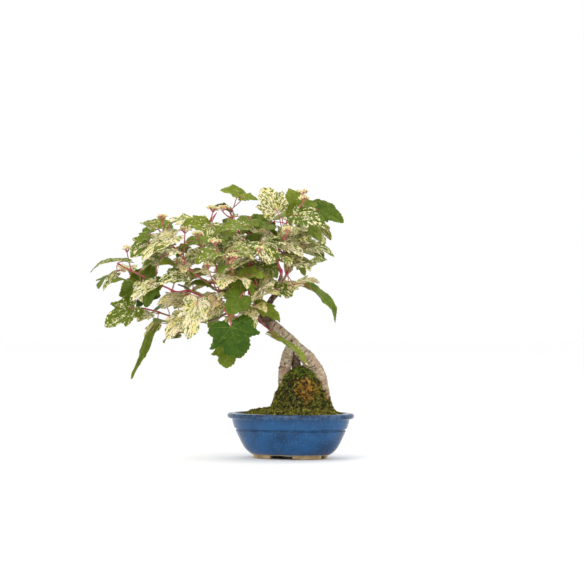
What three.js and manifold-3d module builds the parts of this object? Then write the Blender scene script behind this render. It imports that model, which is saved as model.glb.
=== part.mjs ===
// A small porcelain-vine bonsai in a glazed oval pot: two root legs straddle a mossy mound, the trunk leans
// to the left, and its shoots carry a wide crown of lobed leaves. Millimetres, +Z up. The origin is the
// centre of the whole plant's bounding box, on the surface that the pot stands on.
import * as THREE from 'three';
import { mergeVertices } from 'three/addons/utils/BufferGeometryUtils.js';
import Module from 'manifold-3d';

const wasm = await Module();
wasm.setup();

// ---- Driving dimensions ---------------------------------------------------------------------------

const FIT_GAP = 0.3; // air between pieces that touch
const LEAF_GAP = 1.0; // least air between a leaf and anything it doesn't grow from

const POT_LENGTH = 164; // over the rim, along the oval
const POT_WIDTH = 126; // over the rim, across the oval
const POT_TURN = -20; // degrees that the oval is turned about the upright axis
const POT_WALL = 5;
const POT_FLOOR = 6;
const RIM_TOP = 57; // height of the rim above the table
const RIM_LIP = 6; // how far the rolled rim stands out from the body
const RIM_THICK = 7.5; // height of the rolled rim
const BAND_HEIGHT = 12; // plain band under the rim, down to the groove
const GROOVE_DEPTH = 1.2;
const GROOVE_WIDTH = 2.2;
const WALL_SLOPE = 14.5; // how far the wall draws in from the groove to the base
const BASE_ROUND = 6.5; // how much more it draws in where it rounds under the pot
const FOOT_HEIGHT = 5;
const FOOT_ARC = 56; // degrees of the oval that one foot runs along
const FOOT_INSET = 3; // from the edge of the base
const FOOT_DEPTH = 8;
const FOOT_ANGLES = [-47, 38, 133, -142]; // where the feet stand round the oval, degrees
const DRAIN_RADIUS = 7;
const DRAIN_OFFSET = 24; // each drain hole from the pot's centre, along the oval

const SCREEN_RADIUS = 11;
const SCREEN_THICK = 1.2;

const SOIL_BELOW_RIM = 7;
const MOSS_THICK = 13; // carpet away from the mound
const MOSS_EDGE = 2; // thickness at the carpet's edge
const MOUND_HEIGHT = 53; // mound above the carpet
const MOUND_CENTRE = [15, 0];
const MOUND_HALF_LENGTH = 34; // from the middle to halfway down the steep flank
const MOUND_HALF_WIDTH = 24;
const MOUND_POWER = 7; // larger makes the flanks steeper
const MOUND_TAPER = 0.3; // share of its height that the mound loses from its middle to its flanks
const CUSHION_CENTRE = [19, -18, 38]; // heights of the plant are over the soil
const CUSHION_SIZE = [14, 8, 17]; // half sizes of the golden moss cushion

const LEG_BURY = 16; // how deep the root legs go below the top of the soil
const LEAF_THICK = 0.9;
const LEAF_SCALE = 1; // blade size against the lengths and widths in the table of leaves
const PETIOLE_RADIUS = 0.8;
const PETIOLE_LAP = 2; // how far a leaf stalk runs on under its blade
const BUD_RADIUS = 1.5;
const STALK_RADIUS = 0.6;
const CYME_SPREAD = 7; // half width of a bud cluster
const CYME_RISE = 6; // height of its forks

// ---- Colours and finishes -------------------------------------------------------------------------

const finish = (color, roughness) => new THREE.MeshStandardMaterial({ color, roughness, metalness: 0 });
const GLAZE = finish('#2f649c', 0.22);
const SCREEN = finish('#2b2d2c', 0.6);
const SOIL = finish('#3a2c20', 0.95);
const MOSS = finish('#55661d', 0.95);
const MOSS_GOLD = finish('#a38a2c', 0.95);
const BARK = finish('#b3a591', 0.85);
const TWIG_BARK = finish('#6d5648', 0.85);
const SHOOT = finish('#b8566a', 0.5);
const BUDS = finish('#d9cf96', 0.6);
const LEAF_COLOURS = {
  green: finish('#3f7a22', 0.5),
  lime: finish('#6f9a2b', 0.5),
  dark: finish('#35611f', 0.5),
  cream: finish('#d9d3a4', 0.55),
  mottled: finish('#93a560', 0.5),
};

// ---- Solids ---------------------------------------------------------------------------------------

const overSoil = ([x, y, z]) => new THREE.Vector3(x, y, SOIL_TOP + z);
const radians = THREE.MathUtils.degToRad;

function solidOf(geometry) {
  const bare = geometry.clone();
  bare.deleteAttribute('normal');
  bare.deleteAttribute('uv');
  const merged = mergeVertices(bare, 1e-4);
  const vertProperties = new Float32Array(merged.attributes.position.array);
  const triVerts = new Uint32Array(merged.index.array);
  return new wasm.Manifold(new wasm.Mesh({ numProp: 3, vertProperties, triVerts }));
}

function geometryOf(solid) {
  const mesh = solid.getMesh();
  const geometry = new THREE.BufferGeometry();
  geometry.setAttribute('position', new THREE.BufferAttribute(new Float32Array(mesh.vertProperties), 3));
  geometry.setIndex(new THREE.BufferAttribute(new Uint32Array(mesh.triVerts), 1));
  return geometry;
}

// A closed solid from rings of equal point counts; the first and last rings are single points.
function ringSolid(rings) {
  const positions = [];
  const index = [];
  const sides = rings[1].length;
  const starts = [];
  for (const ring of rings) {
    starts.push(positions.length / 3);
    ring.forEach((p) => positions.push(...p));
  }
  for (let r = 0; r + 1 < rings.length; r += 1) {
    for (let i = 0; i < sides; i += 1) {
      const j = (i + 1) % sides;
      const a = starts[r];
      const b = starts[r + 1];
      if (rings[r].length > 1) index.push(a + i, a + j, b + (rings[r + 1].length > 1 ? i : 0));
      if (rings[r + 1].length > 1) index.push(a + (rings[r].length > 1 ? j : 0), b + j, b + i);
    }
  }
  const geometry = new THREE.BufferGeometry();
  geometry.setAttribute('position', new THREE.BufferAttribute(new Float32Array(positions), 3));
  geometry.setIndex(index);
  return solidOf(geometry);
}

// A round tube along a smooth route, with its radius running from first to last; the ends close to a point.
function tube(points, radii, sides, steps) {
  const curve = new THREE.CatmullRomCurve3(points, false, 'centripetal');
  const frames = curve.computeFrenetFrames(steps, false);
  const rings = [[curve.getPointAt(0).toArray()]];
  for (let s = 0; s <= steps; s += 1) {
    const centre = curve.getPointAt(s / steps);
    const along = (s / steps) * (radii.length - 1);
    const before = Math.min(Math.floor(along), radii.length - 2);
    const radius = THREE.MathUtils.lerp(radii[before], radii[before + 1], along - before);
    const ring = [];
    for (let i = 0; i < sides; i += 1) {
      const angle = (i / sides) * 2 * Math.PI;
      const spoke = frames.normals[s].clone().multiplyScalar(radius * Math.cos(angle));
      spoke.addScaledVector(frames.binormals[s], radius * Math.sin(angle));
      ring.push(centre.clone().add(spoke).toArray());
    }
    rings.push(ring);
  }
  rings.push([curve.getPointAt(1).toArray()]);
  return { solid: ringSolid(rings), curve };
}

// ---- Pot ------------------------------------------------------------------------------------------

const SOIL_TOP = RIM_TOP - SOIL_BELOW_RIM;
const HALF_LENGTH = POT_LENGTH / 2;
const HALF_WIDTH = POT_WIDTH / 2;
const OVAL_SIDES = 40;

// One level of an oval: a ring that is drawn in from the rim's edge by inset, at the height z.
function ovalRing(inset, z) {
  const ring = [];
  const turn = radians(POT_TURN);
  for (let i = 0; i < OVAL_SIDES; i += 1) {
    const angle = (i / OVAL_SIDES) * 2 * Math.PI;
    const x = (HALF_LENGTH - inset) * Math.cos(angle);
    const y = (HALF_WIDTH - inset) * Math.sin(angle);
    const turned = [x * Math.cos(turn) - y * Math.sin(turn), x * Math.sin(turn) + y * Math.cos(turn)];
    ring.push([turned[0], turned[1], z]);
  }
  return ring;
}

// An oval solid from its levels [inset, z], given from the bottom up.
function ovalSolid(levels) {
  const rings = levels.map(([inset, z]) => ovalRing(inset, z));
  const low = levels[0][1];
  const high = levels[levels.length - 1][1];
  return ringSolid([[[0, 0, low]], ...rings, [[0, 0, high]]]);
}

const GROOVE_TOP = RIM_TOP - RIM_THICK - BAND_HEIGHT;
const GROOVE_FOOT = GROOVE_TOP - GROOVE_WIDTH;

const BAND_INSET = RIM_LIP + 4; // the wall just under the groove

// How far the outer wall is drawn in at the height z, below the groove: a slope that rounds under the base.
function wallInset(z) {
  const down = (GROOVE_FOOT - z) / (GROOVE_FOOT - FOOT_HEIGHT);
  return BAND_INSET + WALL_SLOPE * down + BASE_ROUND * down ** 6;
}

const BELLY_STEPS = 5;
const bellyLevels = (inward) =>
  Array.from({ length: BELLY_STEPS }, (_, i) => {
    const z = FOOT_HEIGHT + ((GROOVE_FOOT - FOOT_HEIGHT) * i) / BELLY_STEPS;
    return [wallInset(z) + inward, z + (inward > 0 ? POT_FLOOR : 0)];
  });

const outerPot = ovalSolid([
  ...bellyLevels(0),
  [BAND_INSET, GROOVE_FOOT],
  [BAND_INSET + GROOVE_DEPTH, GROOVE_FOOT + 0.3],
  [BAND_INSET + GROOVE_DEPTH, GROOVE_TOP - 0.3],
  [BAND_INSET - 1, GROOVE_TOP],
  [RIM_LIP, RIM_TOP - RIM_THICK],
  [1.6, RIM_TOP - RIM_THICK + 0.6],
  [0, RIM_TOP - RIM_THICK * 0.6],
  [0.4, RIM_TOP - RIM_THICK * 0.25],
  [2.4, RIM_TOP],
  [RIM_LIP + POT_WALL - 1, RIM_TOP],
]);
const innerLevels = (clear) => [
  ...bellyLevels(POT_WALL + clear).map(([inset, z]) => [inset, z + clear]),
  [BAND_INSET + POT_WALL - 0.5 + clear, GROOVE_TOP + clear],
];
const MOUTH_INSET = RIM_LIP + POT_WALL; // the inner wall at the rim
const cavity = ovalSolid([...innerLevels(0), [MOUTH_INSET, RIM_TOP - 2], [MOUTH_INSET - 0.6, RIM_TOP + 2]]);

// One foot: an arc-shaped block that follows the edge of the base.
function foot(middle) {
  const outline = new THREE.Shape();
  const edge = wallInset(FOOT_HEIGHT) + FOOT_INSET;
  const arc = (inset, from, to) =>
    Array.from({ length: 9 }, (_, i) => {
      const angle = radians(THREE.MathUtils.lerp(from, to, i / 8));
      const [x, y] = [(HALF_LENGTH - inset) * Math.cos(angle), (HALF_WIDTH - inset) * Math.sin(angle)];
      return new THREE.Vector2(x, y);
    });
  const [from, to] = [middle - FOOT_ARC / 2, middle + FOOT_ARC / 2];
  outline.setFromPoints([...arc(edge, from, to), ...arc(edge + FOOT_DEPTH, to, from)]);
  const depth = FOOT_HEIGHT + POT_FLOOR / 2;
  const block = new THREE.ExtrudeGeometry(outline, { depth, bevelEnabled: false });
  return solidOf(block.rotateZ(radians(POT_TURN)));
}

// A point on the oval's long axis, at the given distance from the centre.
function onLongAxis(distance) {
  return [distance * Math.cos(radians(POT_TURN)), distance * Math.sin(radians(POT_TURN))];
}

function upright(radius, height, [x, y], low, sides = 24) {
  const geometry = new THREE.CylinderGeometry(radius, radius, height, sides);
  return solidOf(geometry.rotateX(Math.PI / 2).translate(x, y, low + height / 2));
}

function pot() {
  let solid = outerPot.subtract(cavity);
  FOOT_ANGLES.forEach((angle) => {
    solid = solid.add(foot(angle));
  });
  [-DRAIN_OFFSET, DRAIN_OFFSET].forEach((distance) => {
    const low = FOOT_HEIGHT - POT_FLOOR;
    solid = solid.subtract(upright(DRAIN_RADIUS, 3 * POT_FLOOR, onLongAxis(distance), low));
  });
  return solid;
}

const FLOOR_TOP = FOOT_HEIGHT + POT_FLOOR;
function screenAt(distance, grow) {
  const low = FLOOR_TOP + FIT_GAP - grow / 2;
  return upright(SCREEN_RADIUS + grow, SCREEN_THICK + grow, onLongAxis(distance), low, 16);
}

// ---- Trunk ----------------------------------------------------------------------------------------

const MAIN_ROUTE = [
  [-40, 0, 134],
  [-30, 0, 122],
  [-10, 0, 106],
  [9.5, 0, 87.5],
  [24.5, 0, 72],
  [33, 0, 59],
  [37.5, 0, 43],
  [39, 0, 25],
  [39, 0, -LEG_BURY],
];
const MAIN_RADII = [6.5, 6.8, 7, 8, 9.2, 9.8, 10, 9.8, 9];
const LEG_ROUTE = [
  [4, 0, 94],
  [-3, 1, 80],
  [-7, 2, 61],
  [-8.5, 2, 44],
  [-9, 2, 25],
  [-11, 2, -LEG_BURY],
];
const LEG_RADII = [6, 7, 7, 6.6, 6.2, 5.6];
const INNER_ROUTE = [[8, 2, 88], [7, 5, 74], [9, 7, 58], [12, 8, 30]]; // short root under the fork
const INNER_RADII = [5, 5.5, 6, 6];
const KNOB = { centre: [-37, 0, 130], radii: [9, 8.5, 9] };

function ball(centre, radii, grow, columns, rows) {
  const geometry = new THREE.SphereGeometry(1, columns, rows);
  geometry.scale(radii[0] + grow, radii[1] + grow, radii[2] + grow);
  const middle = overSoil(centre);
  return solidOf(geometry.translate(middle.x, middle.y, middle.z));
}

function trunk(grow) {
  const wider = (radii) => radii.map((r) => r + grow);
  const main = tube(MAIN_ROUTE.map(overSoil), wider(MAIN_RADII), 10, 14).solid;
  const leg = tube(LEG_ROUTE.map(overSoil), wider(LEG_RADII), 10, 8).solid;
  const inner = tube(INNER_ROUTE.map(overSoil), wider(INNER_RADII), 8, 6).solid;
  return main.add(leg).add(inner).add(ball(KNOB.centre, KNOB.radii, grow, 10, 7));
}

// ---- Soil and moss --------------------------------------------------------------------------------

function soil() {
  const levels = innerLevels(FIT_GAP).filter(([, z]) => z < SOIL_TOP - 1);
  const edge = MOUTH_INSET + 2 + FIT_GAP;
  let solid = ovalSolid([...levels, [edge, SOIL_TOP]]);
  solid = solid.subtract(trunk(FIT_GAP));
  [-DRAIN_OFFSET, DRAIN_OFFSET].forEach((distance) => {
    solid = solid.subtract(screenAt(distance, 2 * FIT_GAP));
  });
  return solid;
}

const MOSS_RINGS = [0.12, 0.22, 0.31, 0.39, 0.46, 0.53, 0.6, 0.68, 0.76, 0.87, 1];
const MOSS_INSET = MOUTH_INSET + 4; // the carpet's edge, from the rim's

// Height of the moss at a place, with share running from 0 in the middle to 1 at the carpet's edge.
function mossHeight(x, y, share) {
  const across = (x - MOUND_CENTRE[0]) / MOUND_HALF_LENGTH;
  const along = (y - MOUND_CENTRE[1]) / MOUND_HALF_WIDTH;
  const away = Math.hypot(across, along);
  const carpet = THREE.MathUtils.lerp(MOSS_THICK, MOSS_EDGE, share ** 3);
  const mound = MOUND_HEIGHT * Math.exp(-(away ** MOUND_POWER)) * Math.max(0, 1 - MOUND_TAPER * away);
  return SOIL_TOP + FIT_GAP + carpet + mound;
}

function mossSolid() {
  const low = SOIL_TOP + FIT_GAP;
  const edge = ovalRing(MOSS_INSET, low);
  const place = ([x, y], share) => [
    THREE.MathUtils.lerp(MOUND_CENTRE[0], x, share),
    THREE.MathUtils.lerp(MOUND_CENTRE[1], y, share),
  ];
  const top = MOSS_RINGS.map((share) =>
    edge.map((p) => {
      const [x, y] = place(p, share);
      return [x, y, mossHeight(x, y, share)];
    }),
  ).reverse();
  const peak = [...MOUND_CENTRE, mossHeight(...MOUND_CENTRE, 0)];
  return ringSolid([[[...MOUND_CENTRE, low]], edge, ...top, [peak]]);
}

function moss() {
  const cushion = ball(CUSHION_CENTRE, CUSHION_SIZE, FIT_GAP, 16, 10);
  return mossSolid().subtract(trunk(FIT_GAP)).subtract(cushion);
}

function goldCushion() {
  return ball(CUSHION_CENTRE, CUSHION_SIZE, 0, 16, 10).subtract(trunk(FIT_GAP));
}

// ---- Shoots ---------------------------------------------------------------------------------------
// Each shoot starts inside its parent and is cut back to it: [parent, first radius, last radius, route].

const SHOOTS = {
  shoot_left_main: ['trunk', 2.2, 1.1, [
    [-40, 0, 130], [-60, -8, 125], [-78, -16, 132], [-87, -18, 149], [-89, -16, 169], [-92, -12, 190],
    [-105, -8, 206], [-115, -4, 222], [-108, 2, 236], [-100, 6, 249], [-93, 8, 259],
  ]],
  shoot_left_upper: ['shoot_left_main', 1.4, 0.9, [
    [-89, -16, 169], [-106, -30, 172], [-122, -42, 185], [-128, -46, 193], [-137, -48, 205],
    [-148, -44, 219], [-159, -38, 231],
  ]],
  shoot_left_far: ['shoot_left_main', 1.5, 0.9, [
    [-87, -18, 147], [-107, -22, 152], [-126, -20, 160], [-142, -18, 159], [-157, -18, 165],
    [-181, -20, 177], [-205, -22, 188], [-217, -22, 195],
  ]],
  shoot_left_low: ['shoot_left_main', 1.5, 1, [
    [-78, -16, 132], [-96, -8, 124], [-119, 0, 121], [-145, 6, 126], [-171, 4, 135], [-195, 0, 139],
  ]],
  shoot_center: ['trunk', 2.2, 1.1, [
    [-37, 4, 132], [-43, 10, 159], [-48, 14, 183], [-55, 16, 211], [-64, 14, 231], [-74, 10, 254],
    [-79, 8, 266],
  ]],
  twig_right: ['trunk', 4, 2.6, [[-34, 0, 130], [-26, 4, 145], [-17, 8, 161], [-12, 8, 180]]],
  shoot_right: ['twig_right', 1.9, 1, [
    [-13, 8, 172], [-12, 8, 184], [-16, 3, 196], [-17, -4, 208], [-9, -8, 224], [-4, -4, 249],
    [6, 2, 258], [11, 6, 271],
  ]],
  shoot_back: ['trunk', 2, 1.1, [
    [-37, 5, 131], [-49, 30, 154], [-62, 52, 181], [-78, 68, 205], [-97, 78, 221],
  ]],
  shoot_back_right: ['twig_right', 1.7, 1, [
    [-17, 8, 160], [-4, 34, 185], [8, 52, 214], [16, 60, 237], [17, 62, 250],
  ]],
  shoot_front: ['trunk', 2.1, 1.1, [
    [-40, -4, 128], [-54, -30, 141], [-62, -50, 161], [-72, -62, 185], [-84, -68, 203], [-96, -70, 212],
  ]],
};

const grown = { trunk: { grown: trunk(FIT_GAP), solid: trunk(0) } };
const SHOOT_SIDES = 6;
const SHOOT_STEPS_PER_POINT = 2;

function shoot([parent, first, last, route]) {
  const steps = SHOOT_STEPS_PER_POINT * (route.length - 1);
  const points = route.map(overSoil);
  const made = tube(points, [first, last], SHOOT_SIDES, steps);
  const wide = tube(points, [first + FIT_GAP, last + FIT_GAP], SHOOT_SIDES, steps);
  return { solid: made.solid.subtract(grown[parent].grown), grown: wide.solid, curve: made.curve };
}

// ---- Leaves ---------------------------------------------------------------------------------------
// Half of a leaf's outline from the notch at its base to its tip: [blade lengths along, half widths out].

const OUTLINE = [
  [0, 0],
  [-0.22, 0.2],
  [-0.28, 0.55],
  [-0.05, 0.84],
  [0.15, 0.74],
  [0.46, 0.92],
  [0.42, 0.5],
  [0.68, 0.42],
  [1, 0],
];
const BLADE_MIDDLE = 0.18; // where the blade's facets meet, in blade lengths from its base

// [shoot, share of the way along it, base, tip, way the blade faces, width, fold, arch, colour]
const LEAVES = {
  leaf_front_big: ['shoot_front', 0.18, [-72, -86, 115], [-61, -84, 77],
    [0.05, -0.97, 0.22], 70, 0.05, 0.05, 'green'],
  leaf_front_under: ['shoot_left_main', 0.12, [-77, -60, 89], [-79, -66, 65],
    [0, -0.95, 0.3], 42, 0.1, 0.08, 'lime'],
  leaf_trunk_narrow: ['shoot_front', 0.08, [-17, -30, 102], [25, -30, 67],
    [0.55, -0.25, 0.78], 30, 0.15, 0.06, 'lime'],
  leaf_right_hanging: ['twig_right', 0.8, [26, -16, 162], [59, -20, 122],
    [0.7, -0.45, 0.55], 34, 0.3, 0.1, 'green'],
  leaf_right_variegated: ['shoot_right', 0.3, [24, -20, 215], [55, -24, 203],
    [0.25, -0.45, 0.85], 34, 0.15, 0.12, 'mottled'],
  leaf_right_dark: ['shoot_right', 0.85, [34, 18, 263], [68, 18, 248],
    [0.15, -0.85, 0.5], 36, 0.15, 0.1, 'green'],
  leaf_top_right: ['shoot_right', 0.8, [8, -4, 259], [-2, -2, 290],
    [0.2, -0.85, 0.45], 40, 0.1, 0.06, 'lime'],
  leaf_right_striped: ['shoot_right', 0.6, [9, -30, 254], [45, -34, 241],
    [0, -0.85, 0.5], 36, 0.12, 0.08, 'mottled'],
  leaf_top_cream: ['shoot_right', 0.65, [-19, -18, 262], [-36, -16, 289],
    [-0.1, -0.8, 0.55], 46, 0.1, 0.08, 'cream'],
  leaf_top: ['shoot_center', 0.98, [-61, 2, 281], [-88, -6, 287],
    [0.1, -0.75, 0.65], 26, 0.1, 0.1, 'lime'],
  leaf_top_left: ['shoot_left_main', 0.95, [-105, -22, 241], [-137, -30, 241],
    [-0.05, -0.75, 0.65], 32, 0.15, 0.12, 'lime'],
  leaf_left_top: ['shoot_left_upper', 0.95, [-152, -30, 239], [-178, -32, 243],
    [-0.1, -0.6, 0.8], 28, 0.15, 0.15, 'lime'],
  leaf_left_curl: ['shoot_left_upper', 0.98, [-172, -18, 237], [-187, -16, 220],
    [-0.65, -0.5, 0.55], 24, 0.2, 0.15, 'green'],
  leaf_left_cream: ['shoot_left_upper', 0.85, [-146, -62, 226], [-183, -66, 198],
    [-0.3, -0.65, 0.7], 40, 0.1, 0.08, 'cream'],
  leaf_far_left: ['shoot_left_far', 0.98, [-206, -32, 197], [-250, -34, 185],
    [0.05, -0.3, 0.95], 24, 0.25, 0.1, 'mottled'],
  leaf_left_dark: ['shoot_left_far', 0.7, [-176, 2, 175], [-218, 6, 155],
    [0.1, -0.92, 0.35], 50, 0.08, 0.05, 'dark'],
  leaf_left_mid: ['shoot_left_upper', 0.35, [-131, -56, 178], [-164, -62, 169],
    [0, -0.75, 0.65], 28, 0.15, 0.08, 'green'],
  leaf_left_white: ['shoot_left_far', 0.62, [-172, -40, 168], [-199, -44, 147],
    [0.35, -0.65, 0.7], 20, 0.15, 0.08, 'cream'],
  leaf_low_left: ['shoot_left_low', 0.98, [-199, -12, 139], [-233, -16, 116],
    [0.05, -0.88, 0.45], 44, 0.1, 0.06, 'mottled'],
  leaf_hanging: ['shoot_left_low', 0.55, [-173, -2, 112], [-197, -6, 48],
    [0.85, -0.4, 0.35], 18, 0.3, -0.05, 'green'],
  leaf_white_a: ['shoot_left_low', 0.6, [-135, -28, 126], [-155, -34, 101],
    [0, -0.9, 0.4], 34, 0.1, 0.06, 'cream'],
  leaf_white_b: ['shoot_left_far', 0.3, [-115, -58, 143], [-126, -62, 100],
    [0.05, -0.92, 0.35], 42, 0.08, 0.05, 'cream'],
  leaf_white_c: ['shoot_left_main', 0.22, [-92, -44, 145], [-108, -46, 122],
    [0.1, -0.85, 0.5], 32, 0.1, 0.06, 'cream'],
  leaf_white_d: ['shoot_left_far', 0.45, [-131, -8, 149], [-164, -6, 140],
    [0, -0.7, 0.7], 34, 0.12, 0.1, 'cream'],
  leaf_center_bright: ['shoot_front', 0.35, [-61, -84, 152], [-76, -92, 131],
    [0.1, -0.85, 0.5], 40, 0.1, 0.06, 'green'],
  leaf_center_long: ['shoot_center', 0.7, [-55, -42, 199], [-94, -50, 172],
    [-0.35, -0.6, 0.72], 26, 0.2, 0.08, 'cream'],
  leaf_center_back: ['shoot_center', 0.75, [-36, 30, 229], [-47, 36, 260],
    [0, -0.6, 0.8], 50, 0.08, 0.08, 'green'],
  leaf_center_spread: ['shoot_right', 0.4, [-35, -40, 219], [-23, -52, 193],
    [0, -0.6, 0.8], 56, 0.1, 0.1, 'mottled'],
  leaf_mid_left_a: ['shoot_center', 0.85, [-59, -34, 240], [-96, -40, 231],
    [0, -0.55, 0.83], 34, 0.12, 0.1, 'lime'],
  leaf_mid_left_b: ['shoot_center', 0.65, [-61, -20, 222], [-81, -22, 201],
    [0, -0.75, 0.65], 36, 0.1, 0.08, 'mottled'],
  leaf_mid_left_c: ['shoot_front', 0.95, [-91, -84, 206], [-115, -92, 192],
    [-0.1, -0.6, 0.78], 34, 0.12, 0.1, 'lime'],
  leaf_mid_right: ['shoot_right', 0.35, [-6, -28, 217], [16, -34, 202],
    [0.2, -0.6, 0.75], 32, 0.12, 0.1, 'cream'],
  leaf_twig_small: ['twig_right', 0.6, [-18, -8, 163], [3, -10, 154],
    [0.2, -0.8, 0.6], 28, 0.12, 0.1, 'mottled'],
  leaf_back_low: ['shoot_back', 0.5, [-71, 76, 186], [-95, 90, 165],
    [-0.1, 0.7, 0.7], 38, 0.1, 0.08, 'green'],
  leaf_back_left: ['shoot_back', 0.98, [-108, 86, 224], [-139, 92, 224],
    [-0.1, 0.6, 0.8], 36, 0.1, 0.1, 'mottled'],
  leaf_back_top: ['shoot_back', 0.85, [-81, 78, 224], [-79, 86, 257],
    [0.05, 0.75, 0.65], 38, 0.1, 0.08, 'lime'],
  leaf_back_mid: ['shoot_back', 0.3, [-37, 56, 169], [-24, 66, 196],
    [0.2, 0.8, 0.55], 38, 0.1, 0.08, 'cream'],
  leaf_back_right: ['shoot_back_right', 0.6, [20, 72, 219], [44, 84, 204],
    [0.3, 0.65, 0.7], 34, 0.1, 0.1, 'green'],
  leaf_back_crown: ['shoot_back_right', 0.98, [12, 70, 261], [-3, 82, 280],
    [-0.1, 0.6, 0.8], 36, 0.1, 0.1, 'mottled'],
};

// The blade: its outline on a surface that arches along the midrib and folds up on both sides of it.
function blade(base, tip, facing, width, fold, arch) {
  const ahead = tip.clone().sub(base);
  const length = ahead.length() * LEAF_SCALE;
  ahead.normalize();
  const out = new THREE.Vector3(...facing).cross(ahead).normalize();
  const up = ahead.clone().cross(out);
  const half = (width / 2) * LEAF_SCALE;
  const at = (along, across, lift) => {
    const rise = 4 * arch * length * along * (1 - along) + fold * half * Math.abs(across) + lift;
    const point = base.clone().addScaledVector(ahead, along * length);
    return point.addScaledVector(out, across * half).addScaledVector(up, rise).toArray();
  };
  const other = OUTLINE.slice(1, -1).map(([u, v]) => [u, -v]).reverse();
  const round = [...OUTLINE, ...other];
  const face = (lift) => round.map(([u, v]) => at(u, v, lift));
  const under = -LEAF_THICK / 2;
  const over = LEAF_THICK / 2;
  const rings = [[at(BLADE_MIDDLE, 0, over)], face(over), face(under), [at(BLADE_MIDDLE, 0, under)]];
  return { solid: ringSolid(rings), ahead };
}

// A leaf is its blade with its stalk, which leaves the shoot square to it and is cut back to its bark.
function leaf([parent, share, basePoint, tipPoint, facing, width, fold, arch], shift) {
  const base = overSoil(basePoint).add(shift);
  const tip = overSoil(tipPoint).add(shift);
  const { solid, ahead } = blade(base, tip, facing, width, fold, arch);
  const from = grown[parent].curve.getPointAt(share);
  const tangent = grown[parent].curve.getTangentAt(share);
  const reach = base.clone().sub(from);
  const sideways = reach.clone().addScaledVector(tangent, -reach.dot(tangent)).normalize();
  const route = [
    from,
    from.clone().addScaledVector(sideways, reach.length() * 0.25),
    base.clone().addScaledVector(ahead, -reach.length() * 0.2).lerp(from, 0.15),
    base,
    base.clone().addScaledVector(ahead, PETIOLE_LAP),
  ];
  const stalk = tube(route, [PETIOLE_RADIUS, PETIOLE_RADIUS], 4, 5).solid;
  return solid.add(stalk).subtract(grown[parent].grown);
}

// ---- Bud clusters ---------------------------------------------------------------------------------
// [shoot, share of the way along it, top of the stalk]

const BUD_CLUSTERS = {
  buds_far_left: ['shoot_left_far', 0.85, [-204, -20, 208]],
  buds_top_left: ['shoot_left_main', 0.88, [-97, -16, 260]],
  buds_top_right: ['shoot_right', 0.97, [14, 4, 280]],
  buds_upper_left: ['shoot_left_upper', 0.6, [-130, -52, 230]],
};
const CYME_FORKS = 5;

function budCluster([parent, share, topPoint]) {
  const from = grown[parent].curve.getPointAt(share);
  const top = overSoil(topPoint);
  let solid = tube([from, top], [STALK_RADIUS, STALK_RADIUS], 4, 1).solid;
  for (let i = 0; i < CYME_FORKS; i += 1) {
    const angle = (i / CYME_FORKS) * 2 * Math.PI;
    const end = top.clone().add(
      new THREE.Vector3(CYME_SPREAD * Math.cos(angle), CYME_SPREAD * Math.sin(angle), CYME_RISE),
    );
    const back = top.clone().add(new THREE.Vector3(0, 0, -STALK_RADIUS));
    solid = solid.add(tube([back, end], [STALK_RADIUS, STALK_RADIUS], 4, 1).solid);
    const bud = new THREE.SphereGeometry(BUD_RADIUS, 5, 3).translate(end.x, end.y, end.z);
    solid = solid.add(solidOf(bud));
  }
  return solid.subtract(grown[parent].grown);
}

// ---- Assembly -------------------------------------------------------------------------------------

const plant = new THREE.Group();
const placed = [];

function add(name, solid, material) {
  const mesh = new THREE.Mesh(geometryOf(solid), material);
  mesh.name = name;
  plant.add(mesh);
  placed.push({ name, solid });
}

const boxesMeet = (a, b, gap) =>
  [0, 1, 2].every((i) => a.min[i] - gap < b.max[i] && b.min[i] - gap < a.max[i]);

// Whether a new piece keeps its air to everything in place; its parent only needs the fitting gap.
function isClear(solid, parent) {
  const box = solid.boundingBox();
  return placed.every((other) => {
    if (other.name === parent || !boxesMeet(box, other.solid.boundingBox(), LEAF_GAP)) return true;
    return solid.minGap(other.solid, LEAF_GAP) > LEAF_GAP - 0.01;
  });
}

// A blade grows into free air: it moves nearer or further, by small steps, until nothing touches it.
const STEP_ASIDE = 2 * LEAF_SCALE;
const MOST_STEPS = 40;
function grownClear(name, row, make) {
  for (let step = 0; step <= MOST_STEPS; step += 1) {
    for (const side of step === 0 ? [0] : [-1, 1]) {
      const solid = make(row, new THREE.Vector3(0, side * step * STEP_ASIDE, 0));
      if (isClear(solid, row[0])) return solid;
    }
  }
  throw new Error(`${name} finds no free air`);
}

add('pot', pot(), GLAZE);
add('drain_screen_left', screenAt(-DRAIN_OFFSET, 0), SCREEN);
add('drain_screen_right', screenAt(DRAIN_OFFSET, 0), SCREEN);
add('soil', soil(), SOIL);
add('moss', moss(), MOSS);
add('moss_cushion_gold', goldCushion(), MOSS_GOLD);
add('trunk', grown.trunk.solid, BARK);
for (const [name, row] of Object.entries(SHOOTS)) {
  grown[name] = shoot(row);
  add(name, grown[name].solid, name === 'twig_right' ? TWIG_BARK : SHOOT);
}
for (const [name, row] of Object.entries(BUD_CLUSTERS)) {
  add(name, budCluster(row), BUDS);
}
for (const [name, row] of Object.entries(LEAVES)) {
  add(name, grownClear(name, row, leaf), LEAF_COLOURS[row[row.length - 1]]);
}

// The origin goes to the middle of the plant's box, on the table.
const box = new THREE.Box3().setFromObject(plant);
const centre = box.getCenter(new THREE.Vector3());
plant.position.set(-centre.x, -centre.y, -box.min.z);

export default plant;
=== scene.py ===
"""A small porcelain-vine bonsai in a blue glazed oval pot.

Two root legs straddle a mossy mound, the trunk leans to the left, and its shoots carry a wide crown of lobed
leaves, most of them splashed with cream. Everything is in metres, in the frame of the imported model: +Z up,
-Y the front. Lengths in the tables are in millimetres, measured from the middle of the pot and, for the
plant, up from the soil.
"""

import math

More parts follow.
